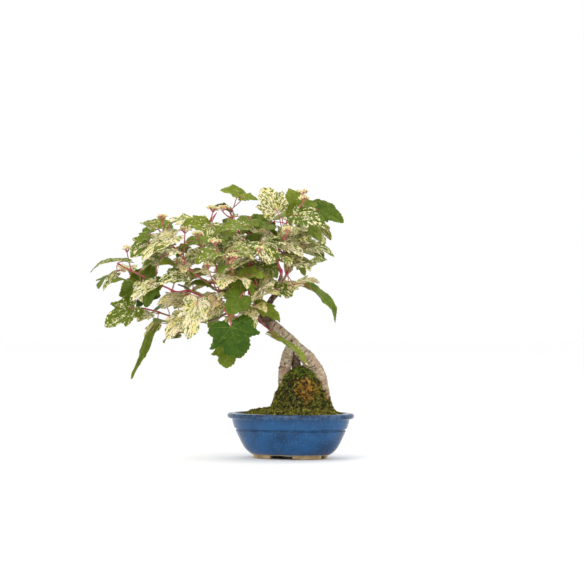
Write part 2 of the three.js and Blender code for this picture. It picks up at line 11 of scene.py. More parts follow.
import bpy
import numpy as np
from bpy.props import FloatProperty, FloatVectorProperty, IntProperty, PointerProperty
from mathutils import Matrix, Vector


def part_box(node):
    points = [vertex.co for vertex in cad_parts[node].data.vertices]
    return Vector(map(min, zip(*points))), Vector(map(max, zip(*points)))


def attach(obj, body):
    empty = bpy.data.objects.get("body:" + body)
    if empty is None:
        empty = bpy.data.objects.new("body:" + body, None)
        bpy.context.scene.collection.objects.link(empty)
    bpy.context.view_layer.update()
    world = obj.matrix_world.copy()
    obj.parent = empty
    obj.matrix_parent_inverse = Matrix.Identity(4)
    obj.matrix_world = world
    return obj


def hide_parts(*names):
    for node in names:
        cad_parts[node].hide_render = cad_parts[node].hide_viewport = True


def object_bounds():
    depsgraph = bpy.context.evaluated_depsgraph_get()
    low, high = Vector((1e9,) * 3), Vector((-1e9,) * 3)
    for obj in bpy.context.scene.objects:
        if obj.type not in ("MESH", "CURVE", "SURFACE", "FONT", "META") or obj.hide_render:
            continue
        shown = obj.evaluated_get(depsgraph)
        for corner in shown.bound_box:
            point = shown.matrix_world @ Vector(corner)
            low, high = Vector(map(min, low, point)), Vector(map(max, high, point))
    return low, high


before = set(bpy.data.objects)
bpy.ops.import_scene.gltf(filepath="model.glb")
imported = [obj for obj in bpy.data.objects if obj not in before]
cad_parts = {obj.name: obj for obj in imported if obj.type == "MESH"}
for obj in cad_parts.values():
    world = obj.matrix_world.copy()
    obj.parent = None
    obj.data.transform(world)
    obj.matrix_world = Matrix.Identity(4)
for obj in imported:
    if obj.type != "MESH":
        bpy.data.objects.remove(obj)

bl_info = {
    "name": "Potted Vine Bonsai",
    "version": (1, 0, 0),
    "blender": (4, 5, 0),
    "location": "3D View > Sidebar > Bonsai",
    "description": "Builds a leaning vine bonsai in a glazed oval pot around its packed frame",
    "category": "Add Mesh",
}

CAD_BOX = [list(corner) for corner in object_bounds()]
BODY = "root"
MM = 0.001
TAU = 2 * math.pi

# ---- The frame's own places --------------------------------------------------------------------------

POT_LOW, POT_HIGH = (np.array(corner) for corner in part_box("pot"))
SOIL_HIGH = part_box("soil")[1][2]
MIDDLE = np.array([(POT_LOW[0] + POT_HIGH[0]) / 2, (POT_LOW[1] + POT_HIGH[1]) / 2, 0.0])
ON_SOIL = MIDDLE + [0, 0, SOIL_HIGH]


def over_soil(points):
    """Points in millimetres, from the pot's middle and up from the soil, become places in the frame."""
    return np.asarray(points, float) * MM + ON_SOIL


# ---- Numbers that several pieces share ---------------------------------------------------------------

# The pot's oval, over the rim, and its turn in degrees; its wall starts at FOOT_HEIGHT.
POT_LENGTH, POT_WIDTH, POT_TURN, FOOT_HEIGHT = 164.0, 126.0, -20.0, 5.0

# The moss: the mound, the carpet's thickness in the middle and at its edge, and the golden cushion.
MOUND_CENTRE = np.array([15.0, 0.0])
MOUND_HEIGHT, MOUND_TAPER, MOUND_POWER = 52.0, 0.3, 7.0
MOUND_HALF_LENGTH, MOUND_HALF_WIDTH = 33.5, 23.5
MOSS_THICK, MOSS_EDGE, MOSS_INSET = 12.6, 1.6, 15.0
CUSHION_CENTRE, CUSHION_SIZE = np.array([19.0, -18.0, 38.0]), np.array([13.5, 7.8, 16.5])

# The trunk's limbs, from the top down: places on the middle line, and radii at even steps along it.
MAIN_ROUTE = [(-40, 0, 134), (-30, 0, 122), (-10, 0, 106), (9.5, 0, 87.5), (24.5, 0, 72), (33, 0, 59),
              (37.5, 0, 43), (39, 0, 25), (39, 0, -12)]
MAIN_RADII = [6.5, 6.8, 7, 8, 9.2, 9.8, 10, 9.8, 9]
LEG_ROUTE = [(4, 0, 94), (-3, 1, 80), (-7, 2, 61), (-8.5, 2, 44), (-9, 2, 25), (-11, 2, -12)]
LEG_RADII = [6, 7, 7, 6.6, 6.2, 5.6]
INNER_ROUTE, INNER_RADII = [(8, 2, 88), (7, 5, 74), (9, 7, 58), (12, 8, 30)], [5, 5.5, 6, 6]

# ---- Numpy shapes ------------------------------------------------------------------------------------

# How finely a curve is read before it is stepped evenly, and how many centres are measured at once.
FINE_STEPS, BLOCK_OF_CENTRES = 40, 60


def unit(vectors):
    """Vectors divided by their lengths, along the last axis."""
    vectors = np.asarray(vectors, float)
    return vectors / np.maximum(np.linalg.norm(vectors, axis=-1, keepdims=True), 1e-12)


def turns(count):
    """Angles evenly spaced round one full turn, from nought."""
    return np.arange(count) / count * TAU


def length_of(route):
    """The length of a route, summed over its steps."""
    return np.linalg.norm(np.diff(route, axis=0), axis=1).sum()


def drawn_out(radii, count):
    """Radii given at even steps of a limb, joined by straight lines and read at count even places."""
    return np.interp(np.linspace(0, 1, count), np.linspace(0, 1, len(radii)), radii)


def ball(polar, columns):
    """Rings of directions, one for each polar angle p: (sin p cos a, sin p sin a, cos p), a going round."""
    polar, angle = np.asarray(polar)[:, None], turns(columns)[None]
    way = [np.sin(polar) * np.cos(angle), np.sin(polar) * np.sin(angle), np.cos(polar) + 0 * angle]
    return np.stack(way, axis=2)


def smooth_route(points, count):
    """A Catmull-Rom curve through the points, at count places that are evenly spaced along its length.

    Between neighbours b and c, with a before and d after, a point at t is half of
    2b + (c - a)t + (2a - 5b + 4c - d)t^2 + (3b - a - 3c + d)t^3.
    """
    points = np.asarray(points, float)
    ends = np.vstack([2 * points[0] - points[1], points, 2 * points[-1] - points[-2]])
    fine = np.linspace(0, len(points) - 1, FINE_STEPS * len(points))
    piece = np.minimum(fine.astype(int), len(points) - 2)
    t = (fine - piece)[:, None]
    a, b, c, d = ends[piece], ends[piece + 1], ends[piece + 2], ends[piece + 3]
    curve = 0.5 * (2 * b + (c - a) * t + (2 * a - 5 * b + 4 * c - d) * t**2 + (3 * b - a - 3 * c + d) * t**3)
    gone = np.concatenate([[0], np.cumsum(np.linalg.norm(np.diff(curve, axis=0), axis=1))])
    even = np.linspace(0, gone[-1], count)
    return np.stack([np.interp(even, gone, curve[:, k]) for k in range(curve.shape[1])], axis=1)


def route_frames(route):
    """Two unit vectors square to the route at each of its points, turning as little as they can.

    The first comes from one fixed direction with its part along the route taken away; the direction is the
    axis that the route runs along least, so the two never line up.
    """
    along = unit(np.gradient(route, axis=0))
    axis = np.eye(3)[np.argmin(np.abs(along).max(axis=0) + 0.3 * np.abs(along).mean(axis=0))]
    side = unit(axis - along * (along @ axis)[:, None])
    return along, side, np.cross(along, side)


def grid_faces(rows, columns, closed=True):
    """Quads over a grid of rows by columns of points; closed joins the last column to the first."""
    r, c = np.meshgrid(np.arange(rows - 1), np.arange(columns if closed else columns - 1), indexing="ij")
    r, c, n = r.ravel(), c.ravel(), (c.ravel() + 1) % columns
    return np.stack([r * columns + c, r * columns + n, (r + 1) * columns + n, (r + 1) * columns + c], axis=1)


def fan_faces(centre, start, columns, flip):
    """Triangles, held as quads that end in -1, from one centre point to a ring of points."""
    ring = start + np.arange(columns)
    after = start + (np.arange(columns) + 1) % columns
    first, second = (after, ring) if flip else (ring, after)
    return np.stack([np.full(columns, centre), first, second, np.full(columns, -1)], axis=1)


def capped(rings):
    """A closed surface from an array of rings (rows, columns, 3): the grid, and a fan at each end.

    Rings run anticlockwise when seen from ahead of the last one, so that the faces point outwards.
    """
    rows, columns = rings.shape[:2]
    points = np.vstack([rings.reshape(-1, 3), rings[0].mean(axis=0), rings[-1].mean(axis=0)])
    low = fan_faces(rows * columns, 0, columns, True)
    high = fan_faces(rows * columns + 1, (rows - 1) * columns, columns, False)
    return points, np.vstack([grid_faces(rows, columns), low, high])


def sweep(route, radius, sides, frames=None):
    """Rings of a tube: route + radius (cos a * side + sin a * other side), a radius per ring or per point."""
    _, side, other = frames or route_frames(route)
    angle = turns(sides)
    radius = np.broadcast_to(np.asarray(radius, float).reshape(len(route), -1), (len(route), sides))
    spoke = np.cos(angle)[None, :, None] * side[:, None] + np.sin(angle)[None, :, None] * other[:, None]
    return route[:, None] + radius[..., None] * spoke


def per_point(values, sides):
    """One value per ring becomes one per point of a capped tube, with the two cap centres last."""
    return np.append(np.repeat(values, sides), [values[0], values[-1]])


def ripple(points, length, seed, waves=9):
    """Smooth noise between about -1 and 1: the sum of sine waves of one length in random directions."""
    random = np.random.default_rng(seed)
    points = np.asarray(points, float)
    ways = unit(random.normal(size=(waves, points.shape[-1]))) * TAU / length
    ways *= random.uniform(0.7, 1.4, (waves, 1))
    total = np.sin(points @ ways.T + random.uniform(0, TAU, waves)).sum(axis=-1)
    return total / math.sqrt(waves) / 1.2


def domes(places, centres, reach):
    """Cushions side by side: 1 - (distance to the nearest centre / reach)^2, never under nought."""
    nearest = np.full(len(places), np.inf)
    for block in np.array_split(centres, max(1, len(centres) // BLOCK_OF_CENTRES)):
        gap = ((places[:, None] - block[None]) ** 2).sum(axis=2).min(axis=1)
        nearest = np.minimum(nearest, gap)
    return np.clip(1 - nearest / reach**2, 0, 1)


def scatter(points, faces, places, ahead, up, sizes):
    """Copies of one small shape: each point p becomes place + size (x side + y other + z ahead)."""
    z = unit(ahead)
    x = unit(np.cross(up, z))
    y = np.cross(z, x)
    axes = np.stack([x, y, z], axis=1) * np.asarray(sizes, float).reshape(len(places), -1, 1)
    copies = np.einsum("pk,nkj->npj", points, axes) + places[:, None]
    shift = np.arange(len(places))[:, None, None] * len(points)
    copied = np.where(faces[None] < 0, -1, faces[None] + shift)
    return copies.reshape(-1, 3), copied.reshape(-1, faces.shape[1])


def joined(shapes):
    """Several (points, faces) as one."""
    points, faces, start = [], [], 0
    for shape_points, shape_faces in shapes:
        points.append(shape_points)
        faces.append(np.where(shape_faces < 0, -1, shape_faces + start))
        start += len(shape_points)
    return np.vstack(points), np.vstack(faces)


def new_piece(name, points, faces, finishes, values=None, maps=None, finish_of=None, smooth=True):
    """A mesh object from whole arrays. values are numbers per point, maps are 2-D coordinates per point."""
    mesh = bpy.data.meshes.new(name)
    corner = faces[faces >= 0].astype(np.int32)
    sizes = (faces >= 0).sum(axis=1)
    mesh.vertices.add(len(points))
    mesh.vertices.foreach_set("co", np.ascontiguousarray(points, np.float32).ravel())
    mesh.loops.add(len(corner))
    mesh.loops.foreach_set("vertex_index", corner)
    mesh.polygons.add(len(faces))
    mesh.polygons.foreach_set("loop_start", np.concatenate([[0], np.cumsum(sizes)[:-1]]).astype(np.int32))
    for key, value in (values or {}).items():
        layer = mesh.attributes.new(key, "FLOAT", "POINT")
        layer.data.foreach_set("value", np.ascontiguousarray(value, np.float32).ravel())
    for key, value in (maps or {}).items():
        layer = mesh.uv_layers.new(name=key)
        layer.data.foreach_set("uv", np.ascontiguousarray(np.asarray(value)[corner], np.float32).ravel())
    for finish in finishes:
        mesh.materials.append(finish)
    if finish_of is not None:
        mesh.polygons.foreach_set("material_index", np.asarray(finish_of, np.int32))
    mesh.polygons.foreach_set("use_smooth", np.full(len(faces), smooth))
    mesh.update(calc_edges=True)
    mesh.validate()
    piece = bpy.data.objects.new(name, mesh)
    bpy.context.scene.collection.objects.link(piece)
    return piece


def settle(piece, slot, *nodes):
    """The piece rides on the plant's one body and stands for these nodes. The slot is not used."""
    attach(piece, BODY)
    if nodes:
        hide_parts(*nodes)
    return piece


# ---- Material building -------------------------------------------------------------------------------


COAT_ROUGHNESS = 0.08


class Finish:
    """A material under construction, with short ways to add the nodes that its recipe needs."""

    def __init__(self, name, roughness, specular=0.5, coat=0.0, sheen=0.0):
        self.material = bpy.data.materials.new(name)
        self.material.use_nodes = True
        self.tree = self.material.node_tree
        self.shader = self.tree.nodes["Principled BSDF"]
        self.preset({"Roughness": roughness, "Specular IOR Level": specular, "Coat Weight": coat,
                     "Coat Roughness": COAT_ROUGHNESS, "Sheen Weight": sheen})

    def preset(self, settings):
        """Give the shader's own sockets these fixed values."""
        for key, value in settings.items():
            self.shader.inputs[key].default_value = value

    def node(self, kind, **settings):
        """A new node with these properties."""
        made = self.tree.nodes.new(kind)
        for key, value in settings.items():
            setattr(made, key, value)
        return made

    def feed(self, socket, value):
        """A link from another node's socket, or a fixed value."""
        if isinstance(value, bpy.types.NodeSocket):
            self.tree.links.new(value, socket)
        else:
            socket.default_value = value

    def place(self):
        """The place on the piece, in metres."""
        return self.node("ShaderNodeTexCoord").outputs["Object"]

    def map(self, name):
        """One of the piece's own maps."""
        return self.node("ShaderNodeUVMap", uv_map=name).outputs["UV"]

    def value(self, name):
        """One of the numbers that the piece holds per point."""
        return self.node("ShaderNodeAttribute", attribute_name=name).outputs["Fac"]

    def math(self, operation, *values):
        """Arithmetic on sockets and numbers."""
        made = self.node("ShaderNodeMath", operation=operation)
        for socket, value in zip(made.inputs, values):
            self.feed(socket, value)
        return made.outputs[0]

    def noise(self, where, scale, detail=3.0, roughness=0.55, stretch=None, distortion=0.0):
        """Cloudy noise from 0 to 1; stretch scales the place by axis first."""
        if stretch:
            mapping = self.node("ShaderNodeMapping")
            mapping.inputs["Scale"].default_value = stretch
            self.feed(mapping.inputs["Vector"], where)
            where = mapping.outputs[0]
        made = self.node("ShaderNodeTexNoise")
        settings = {"Vector": where, "Scale": scale, "Detail": detail, "Roughness": roughness,
                    "Distortion": distortion}
        for key, value in settings.items():
            self.feed(made.inputs[key], value)
        return made.outputs["Fac"]

    def cells(self, where, scale, output="Distance"):
        """Cells round scattered points: the distance to the nearest point, or its own colour."""
        made = self.node("ShaderNodeTexVoronoi")
        self.feed(made.inputs["Vector"], where)
        made.inputs["Scale"].default_value = scale
        return made.outputs[output]

    def ramp(self, value, low, high, start=0.0, end=1.0):
        """A smooth step: start where the value is low, end where it is high."""
        made = self.node("ShaderNodeMapRange", interpolation_type="SMOOTHSTEP")
        for socket, given in zip(made.inputs, (value, low, high, start, end)):
            self.feed(socket, given)
        return made.outputs[0]

    def blend(self, share, first, second):
        """A mix of two colours: the first at share 0, the second at share 1."""
        made = self.node("ShaderNodeMix", data_type="RGBA")
        self.feed(made.inputs["Factor"], share)
        for socket, colour in zip((made.inputs[6], made.inputs[7]), (first, second)):
            self.feed(socket, colour if isinstance(colour, bpy.types.NodeSocket) else (*colour, 1.0))
        return made.outputs[2]

    def colour(self, value):
        """The material's colour."""
        self.feed(self.shader.inputs["Base Color"], value)

    def glow(self, weight, depth):
        """Light that soaks this deep into the material and comes out nearby, for thin and living things."""
        self.preset({"Subsurface Weight": weight, "Subsurface Scale": depth,
                     "Subsurface Radius": (1.0, 1.0, 0.5)})

    def roughness(self, value):
        """A roughness that varies over the surface."""
        self.feed(self.shader.inputs["Roughness"], value)

    def bump(self, height, depth, strength=1.0):
        """Fine relief: the height is 0 to 1, and the depth is in metres."""
        made = self.node("ShaderNodeBump")
        made.inputs["Strength"].default_value = strength
        made.inputs["Distance"].default_value = depth
        self.feed(made.inputs["Height"], height)
        self.tree.links.new(made.outputs[0], self.shader.inputs["Normal"])


def srgb(code):
    """A colour written as six hexadecimal digits, as linear values."""
    parts = np.array([int(code[i:i + 2], 16) for i in (0, 2, 4)]) / 255
    return tuple(np.where(parts <= 0.04045, parts / 12.92, ((parts + 0.055) / 1.055) ** 2.4))


def looks():
    """The colours and light that a user may change."""
    return bpy.context.scene.bonsai_looks


def forms():
    """The counts that a user may change."""
    return bpy.context.scene.bonsai_forms


# ---- Finishes ----------------------------------------------------------------------------------------


def glaze_finish():
    """Deep blue glaze, pale speckles; thin and dark at the rim's edge with painted highlight; painted shade in
    the groove.
    """
    f = Finish("blue_glaze", 0.2, specular=0.3, coat=0.12)
    where = f.place()
    cloud = f.noise(where, 28, 4)
    fine = f.noise(where, 700, 2, 0.7)
    speck = f.cells(where, 420)
    deep, pale = looks().glaze, looks().glaze_light
    body = f.blend(f.ramp(cloud, 0.3, 0.75), tuple(deep), tuple(pale))
    body = f.blend(f.math("MULTIPLY", f.value("band"), 0.5), body, tuple(pale))
    body = f.blend(f.ramp(fine, 0.58, 0.72, 0, 0.4), body, srgb("7aa0c8"))
    body = f.blend(f.ramp(speck, 0.2, 0.08, 0, 0.4), body, srgb("16304f"))
    # The rim's dark glaze; its grey-blue patches are painted highlight, and the groove gets this colour too, as
    # painted shade.
    rim = f.blend(f.ramp(f.noise(where, 150, 3), 0.35, 0.7), srgb("182c45"), srgb("37587c"))
    body = f.blend(f.value("edge"), body, rim)
    f.colour(body)
    f.roughness(f.ramp(fine, 0.3, 0.8, 0.12, 0.26))
    f.bump(f.noise(where, 130, 3), 0.0004, 0.25)
    return f.material


def clay_finish():
    """Bare fired clay: warm tan with grit, darker where water has soaked into it."""
    f = Finish("bare_clay", 0.85)
    where = f.place()
    stain = f.noise(where, 60, 4)
    grit = f.noise(where, 1500, 2, 0.7)
    body = f.blend(f.ramp(stain, 0.35, 0.7), srgb("cbb68f"), srgb("9b8259"))
    f.colour(f.blend(f.ramp(grit, 0.55, 0.75, 0, 0.5), body, srgb("6e5a3e")))
    f.bump(grit, 0.0004, 0.6)
    return f.material


def screen_finish():
    """Dark plastic mesh over the drain holes: two sets of ribs that cross."""
    f = Finish("drain_screen", 0.5)
    where = f.place()
    wave = [f.node("ShaderNodeTexWave", bands_direction=way) for way in ("X", "Y")]
    for band in wave:
        f.feed(band.inputs["Vector"], where)
        band.inputs["Scale"].default_value = 160
    ribs = f.math("MAXIMUM", wave[0].outputs["Fac"], wave[1].outputs["Fac"])
    f.colour(f.blend(ribs, srgb("0b0c0c"), srgb("34383a")))
    f.bump(ribs, 0.0004, 0.8)
    return f.material


def soil_finish():
    """Damp, gritty soil with tan and rust crumbs."""
    f = Finish("soil", 0.95)
    where = f.place()
    crumb = f.cells(where, 420, output="Color")
    tone = f.noise(where, 130, 4)
    body = f.blend(f.ramp(tone, 0.35, 0.7), srgb("2a1e14"), srgb("5a4027"))
    shade = f.node("ShaderNodeSeparateColor")
    f.feed(shade.inputs[0], crumb)
    body = f.blend(f.ramp(shade.outputs[0], 0.7, 0.9, 0, 0.7), body, srgb("9c7a4d"))
    f.colour(body)
    f.bump(f.cells(where, 420), 0.0012, 0.8)
    return f.material


def moss_finish(name):
    """Moss: painted shade between the leaflets, lighter towards their tips, with dry tips here and there.

    The value named tip runs from 0 at a leaflet's foot to 1 at its point, and where it is low the colour goes to
    painted shade. Gold is 1 where the moss is golden.
    """
    f = Finish(name, 0.75, specular=0.25, sheen=0.1)
    where = f.place()
    patch = f.ramp(f.noise(where, 75, 3), 0.4, 0.6)
    sprig = f.ramp(f.noise(where, 330, 2, 0.6), 0.5, 0.58)
    dry = f.ramp(f.noise(where, 190, 3), 0.52, 0.6, 0, 0.85)
    green = f.blend(patch, srgb("687a18"), srgb("aaa626"))
    # Painted highlight: where the fine noise is high the moss goes pale, as light on the tufts; the same for the
    # gold below.
    green = f.blend(f.math("MULTIPLY", sprig, 0.8), green, srgb("dcd468"))
    green = f.blend(dry, green, srgb("6d4c20"))
    gold = f.blend(patch, srgb("c8a222"), srgb("ecb230"))
    gold = f.blend(f.math("MULTIPLY", sprig, 0.8), gold, srgb("f4d874"))
    gold = f.blend(dry, gold, srgb("b8742a"))
    height = f.node("ShaderNodeSeparateXYZ")
    f.feed(height.inputs[0], where)
    fresh = f.ramp(height.outputs[2], SOIL_HIGH + 0.045, SOIL_HIGH + 0.062)
    green = f.blend(f.math("MULTIPLY", fresh, 0.65), green, srgb("6f9a2a"))
    edge = f.math("ADD", f.value("gold"), f.ramp(f.noise(where, 110, 3), 0.3, 0.7, -0.55, 0.55))
    body = f.blend(f.ramp(edge, 0.35, 0.65), green, gold)
    # Painted shade: the moss goes to this dark colour in random patches between the tufts, at the foot of each
    # leaflet and in the hollows, where tip is low.
    painted_shade = f.blend(f.value("gold"), srgb("151a05"), srgb("33270a"))
    body = f.blend(f.ramp(f.noise(where, 300, 2, 0.7), 0.53, 0.45, 0, 0.9), body, painted_shade)
    f.colour(f.blend(f.ramp(f.value("tip"), 0.0, 0.75), painted_shade, body))
    f.bump(f.noise(where, 700, 2), 0.0006, 0.5)
    return f.material


def golden(places):
    """How golden the moss is: 1 in the middle of the cushion, down to 0 a little outside its edge."""
    away = np.linalg.norm(((places - CUSHION_CENTRE) / CUSHION_SIZE)[:, [0, 2]], axis=1)
    return np.clip((1.25 - away) / 0.6, 0, 1) * np.clip((2 - places[:, 1]) / 8, 0, 1)


def bark_finish():
    """Pale grey-beige bark: fine cross streaks, cracks and pits dark in their own colour and with painted shade,
    and brown towards the crown.

    The map named Bark runs round the trunk in u and along it in v, both in centimetres. The value named
    crack is 1 in the cracks and pits, and the brown value is 1 at the upper end and high on the inner root, as
    painted shade there.
    """
    f = Finish("pale_bark", 0.8, specular=0.3)
    where, bark = f.place(), f.map("Bark")
    streak = f.noise(bark, 1.7, 5, 0.7, stretch=(0.8, 1.7, 1))
    cloud = f.noise(where, 75, 4)
    fine = f.noise(bark, 13, 3, 0.7, stretch=(0.8, 1.5, 1))
    body = f.blend(f.ramp(streak, 0.36, 0.64), srgb("927d64"), srgb("c8b89d"))
    body = f.blend(f.ramp(cloud, 0.5, 0.62, 0, 0.7), body, srgb("a78672"))
    body = f.blend(f.ramp(fine, 0.58, 0.68, 0, 0.6), body, srgb("6b5848"))
    body = f.blend(f.ramp(f.noise(where, 420, 2), 0.62, 0.66, 0, 0.9), body, srgb("3e3026"))
    body = f.blend(f.ramp(f.noise(where, 160, 3), 0.6, 0.7, 0, 0.4), body, srgb("9aa070"))
    brown = f.blend(f.ramp(streak, 0.35, 0.65), srgb("2e1f16"), srgb("6c523f"))
    body = f.blend(f.value("crown"), body, brown)
    # Cracks and pits go nearly black: partly their own colour, partly painted shade in the hollows.
    f.colour(f.blend(f.value("crack"), body, srgb("1d130d")))
    height = f.math("ADD", streak, f.math("MULTIPLY", fine, 0.5))
    f.bump(height, 0.0006, 0.7)
    return f.material


def stem_finish():
    """Stems: brown wood at the foot, then green or rose, and magenta at the joints and tips."""
    f = Finish("young_stem", 0.42, specular=0.45)
    where = f.place()
    tone = f.noise(where, 130, 3)
    fine = f.noise(where, 1200, 2)
    rose = f.blend(f.ramp(tone, 0.35, 0.62), srgb("d46078"), srgb("bc3564"))
    green = f.blend(f.ramp(tone, 0.35, 0.62), srgb("b5a45c"), srgb("8f9a3f"))
    body = f.blend(f.value("rose"), green, rose)
    body = f.blend(f.value("joint"), body, srgb("c81c5a"))
    wood = f.blend(f.ramp(fine, 0.35, 0.65), srgb("4a3327"), srgb("8c6f58"))
    body = f.blend(f.value("wood"), body, wood)
    f.colour(f.blend(f.ramp(fine, 0.62, 0.75, 0, 0.3), body, srgb("5e2030")))
    f.bump(fine, 0.0002, 0.4)
    return f.material


def bud_finish():
    """Flower buds: cream and yellow-green beads with rosy feet."""
    f = Finish("flower_bud", 0.45)
    where = f.place()
    tone = f.noise(where, 260, 2)
    body = f.blend(f.ramp(tone, 0.4, 0.6), srgb("f2e6b6"), srgb("d4cc7c"))
    f.colour(f.blend(f.ramp(f.noise(where, 190, 2), 0.56, 0.66, 0, 0.8), body, srgb("e89c94")))
    f.bump(f.noise(where, 1400, 1), 0.0002, 0.4)
    return f.material


# Directions of a blade's veins from its foot, in degrees off the midrib; both halves have them.
VEIN_SLOPES = (0.0, 61.0, 103.0)


def leaf_finish(under=False):
    """Leaf blades: green with pale veins, splashed with cream and freckled with green inside the cream.

    The map named Shape runs along the midrib in u, in blade lengths, and across in v, in half widths. The
    map named Blade holds the same place in centimetres. The value cream is how much of the leaf is cream,
    lime is how yellow its green is, blush is how pink its pale parts are, and chance tells leaves apart.
    """
    f = Finish("leaf_under" if under else "leaf_blade", 0.55 if under else 0.42, specular=0.14)
    shape, blade = f.map("Shape"), f.map("Blade")
    parts = f.node("ShaderNodeSeparateXYZ")
    f.feed(parts.inputs[0], shape)
    along, across = parts.outputs[0], f.math("ABSOLUTE", parts.outputs[1])

    # Five veins leave the blade's foot, and are thickest there. A vein is |u sin a - v cos a| away.
    vein = None
    for slope in VEIN_SLOPES:
        sine, cosine = math.sin(math.radians(slope)), math.cos(math.radians(slope))
        ahead = f.math("ADD", f.math("MULTIPLY", along, cosine), f.math("MULTIPLY", across, sine))
        aside = f.math("ABSOLUTE", f.math("SUBTRACT", f.math("MULTIPLY", along, sine),
                                          f.math("MULTIPLY", across, cosine)))
        line = f.ramp(aside, f.ramp(ahead, 0.0, 1.0, 0.026, 0.008), 0.0)
        line = f.math("MULTIPLY", line, f.ramp(ahead, -0.01, 0.04))
        slanted = f.math("SUBTRACT", ahead, f.math("MULTIPLY", aside, 0.9))
        side = f.math("FRACT", f.math("MULTIPLY", slanted, 7.0))
        twig = f.math("MULTIPLY", f.ramp(side, 0.12, 0.0), f.ramp(aside, 0.34, 0.1, 0.0, 0.55))
        both = f.math("MAXIMUM", line, f.math("MULTIPLY", twig, f.ramp(ahead, 0.05, 0.2)))
        vein = both if vein is None else f.math("MAXIMUM", vein, both)

    drift = f.noise(blade, 0.9, 3, 0.6)
    mottle = f.noise(blade, 2.6, 4, 0.65, distortion=0.6)
    # Rays of colour fan out from the foot: noise over the angle round it, stretched along the way out.
    fan = f.node("ShaderNodeCombineXYZ")
    angle = f.math("ARCTAN2", parts.outputs[1], f.math("ADD", along, 0.15))
    f.feed(fan.inputs[0], f.math("MULTIPLY", angle, 2.6))
    f.feed(fan.inputs[1], f.math("MULTIPLY", f.math("ADD", along, across), 0.8))
    f.feed(fan.inputs[2], f.value("chance"))
    rays = f.noise(fan.outputs[0], 2.6, 4, 0.65)
    streaks = f.noise(fan.outputs[0], 4.6, 3, 0.6, distortion=0.4)
    freckle = f.math("ADD", f.math("MULTIPLY", f.noise(blade, 3.4, 3, 0.6), 0.4),
                     f.math("MULTIPLY", streaks, 0.6))

    lime = f.value("lime")
    green = f.blend(lime, srgb("33560c"), srgb("8a942e"))
    green = f.blend(f.ramp(drift, 0.35, 0.7, 0, 0.6), green, f.blend(lime, srgb("203e06"), srgb("5e7014")))
    green = f.blend(f.ramp(mottle, 0.55, 0.65, 0, 0.2), green, srgb("a9b44a"))
    green = f.blend(f.math("MULTIPLY", vein, 0.25), green, srgb("98ae44"))
    pale = f.blend(f.value("blush"), srgb("f8edc6"), srgb("efc3a2"))
    pale = f.blend(f.ramp(drift, 0.46, 0.6, 0, 0.6), pale, srgb("e6d878"))
    speck = f.blend(f.ramp(rays, 0.4, 0.6), srgb("8a9a3c"), srgb("3a641a"))
    pale = f.blend(f.ramp(freckle, 0.52, 0.535, 0, 0.95), pale, speck)
    pale = f.blend(f.math("MULTIPLY", vein, 0.3), pale, srgb("b9c27a"))
    level = f.math("ADD", f.math("MULTIPLY", mottle, 0.5), f.math("MULTIPLY", rays, 0.5))
    share = f.value("cream")
    edge = f.math("SUBTRACT", 0.69, f.math("MULTIPLY", share, 0.34))
    splash = f.ramp(level, f.math("SUBTRACT", edge, 0.012), f.math("ADD", edge, 0.012))
    splash = f.math("MULTIPLY", splash, f.ramp(share, 0.0, 0.06))
    body = f.blend(splash, green, pale)
    if under:
        body = f.blend(0.15, body, srgb("93a660"))
    f.colour(body)
    f.glow(0.3, 0.0007)
    sunk = f.math("MULTIPLY", vein, -1.0 if under else 1.0)
    relief = f.math("SUBTRACT", f.math("MULTIPLY", f.cells(blade, 12), 0.35), sunk)
    f.bump(relief, 0.0005, 0.7)
    return f.material


def floor_finish():
    """A plain pale floor."""
    f = Finish("pale_floor", 0.9, specular=0.1)
    f.colour((0.995, 0.995, 0.995, 1.0))
    return f.material


FINISHES = {}


def finish(name):
    """The material of this name, made once, when first asked for."""
    makers = {
        "glaze": glaze_finish,
        "clay": clay_finish,
        "screen": screen_finish,
        "soil": soil_finish,
        "moss": lambda: moss_finish("green_moss"),
        "gold": lambda: moss_finish("gold_moss"),
        "bark": bark_finish,
        "stem": stem_finish,
        "bud": bud_finish,
        "leaf": leaf_finish,
        "leaf_under": lambda: leaf_finish(True),
        "floor": floor_finish,
    }
    if name not in FINISHES:
        FINISHES[name] = makers[name]()
    return FINISHES[name]


# ---- Pot ---------------------------------------------------------------------------------------------

# The wall as [inset, height]: the base and its underside, the rim with the band and groove, and the mouth.
BASE_PROFILE = [(70, 6.2), (50, 5.6), (39, 5.1), (34, 4.9), (32.2, 4.9)]
RIM_PROFILE = [(10.0, 35.0), (10.9, 35.5), (11.2, 36.3), (10.9, 37.1), (9.4, 37.7), (8.6, 38.6), (7.4, 42.5),
               (6.3, 46.5), (5.9, 49.0), (5.0, 49.9), (2.8, 50.0), (0.9, 50.9), (0.1, 52.6), (0.35, 54.6),
               (1.5, 56.3), (3.4, 57.0), (7.6, 57.0), (9.8, 56.4), (10.8, 55.0), (11.2, 52.0)]
INNER_PROFILE = [(12.0, 46.0), (14.0, 38.0), (17.0, 30.0), (21.0, 20.0)]
BELLY_HIGH, BELLY_ROWS = 35.3, 16
POT_ROWS, POT_COLUMNS = 170, 288
# Outside the wall the inset is under OUTER_INSET. Glaze thins at the lip, the groove is darkened as painted
# shade, and the glaze lies thick on the band between them. Under CLAY_HIGH the clay is bare.
OUTER_INSET, GROOVE_HEIGHT, BAND_HEIGHT, LIP_HEIGHT, CLAY_HIGH = 14, 36.2, 37.2, 50.6, 5.35

FEET_AT = (38.0, 133.0, -142.0, -47.0)
FOOT_ARC, FOOT_REACH, FOOT_HALF_HIGH, FOOT_SET_IN = 28.0, 8.0, 4.6, 2.2
FOOT_POWER = 3.2


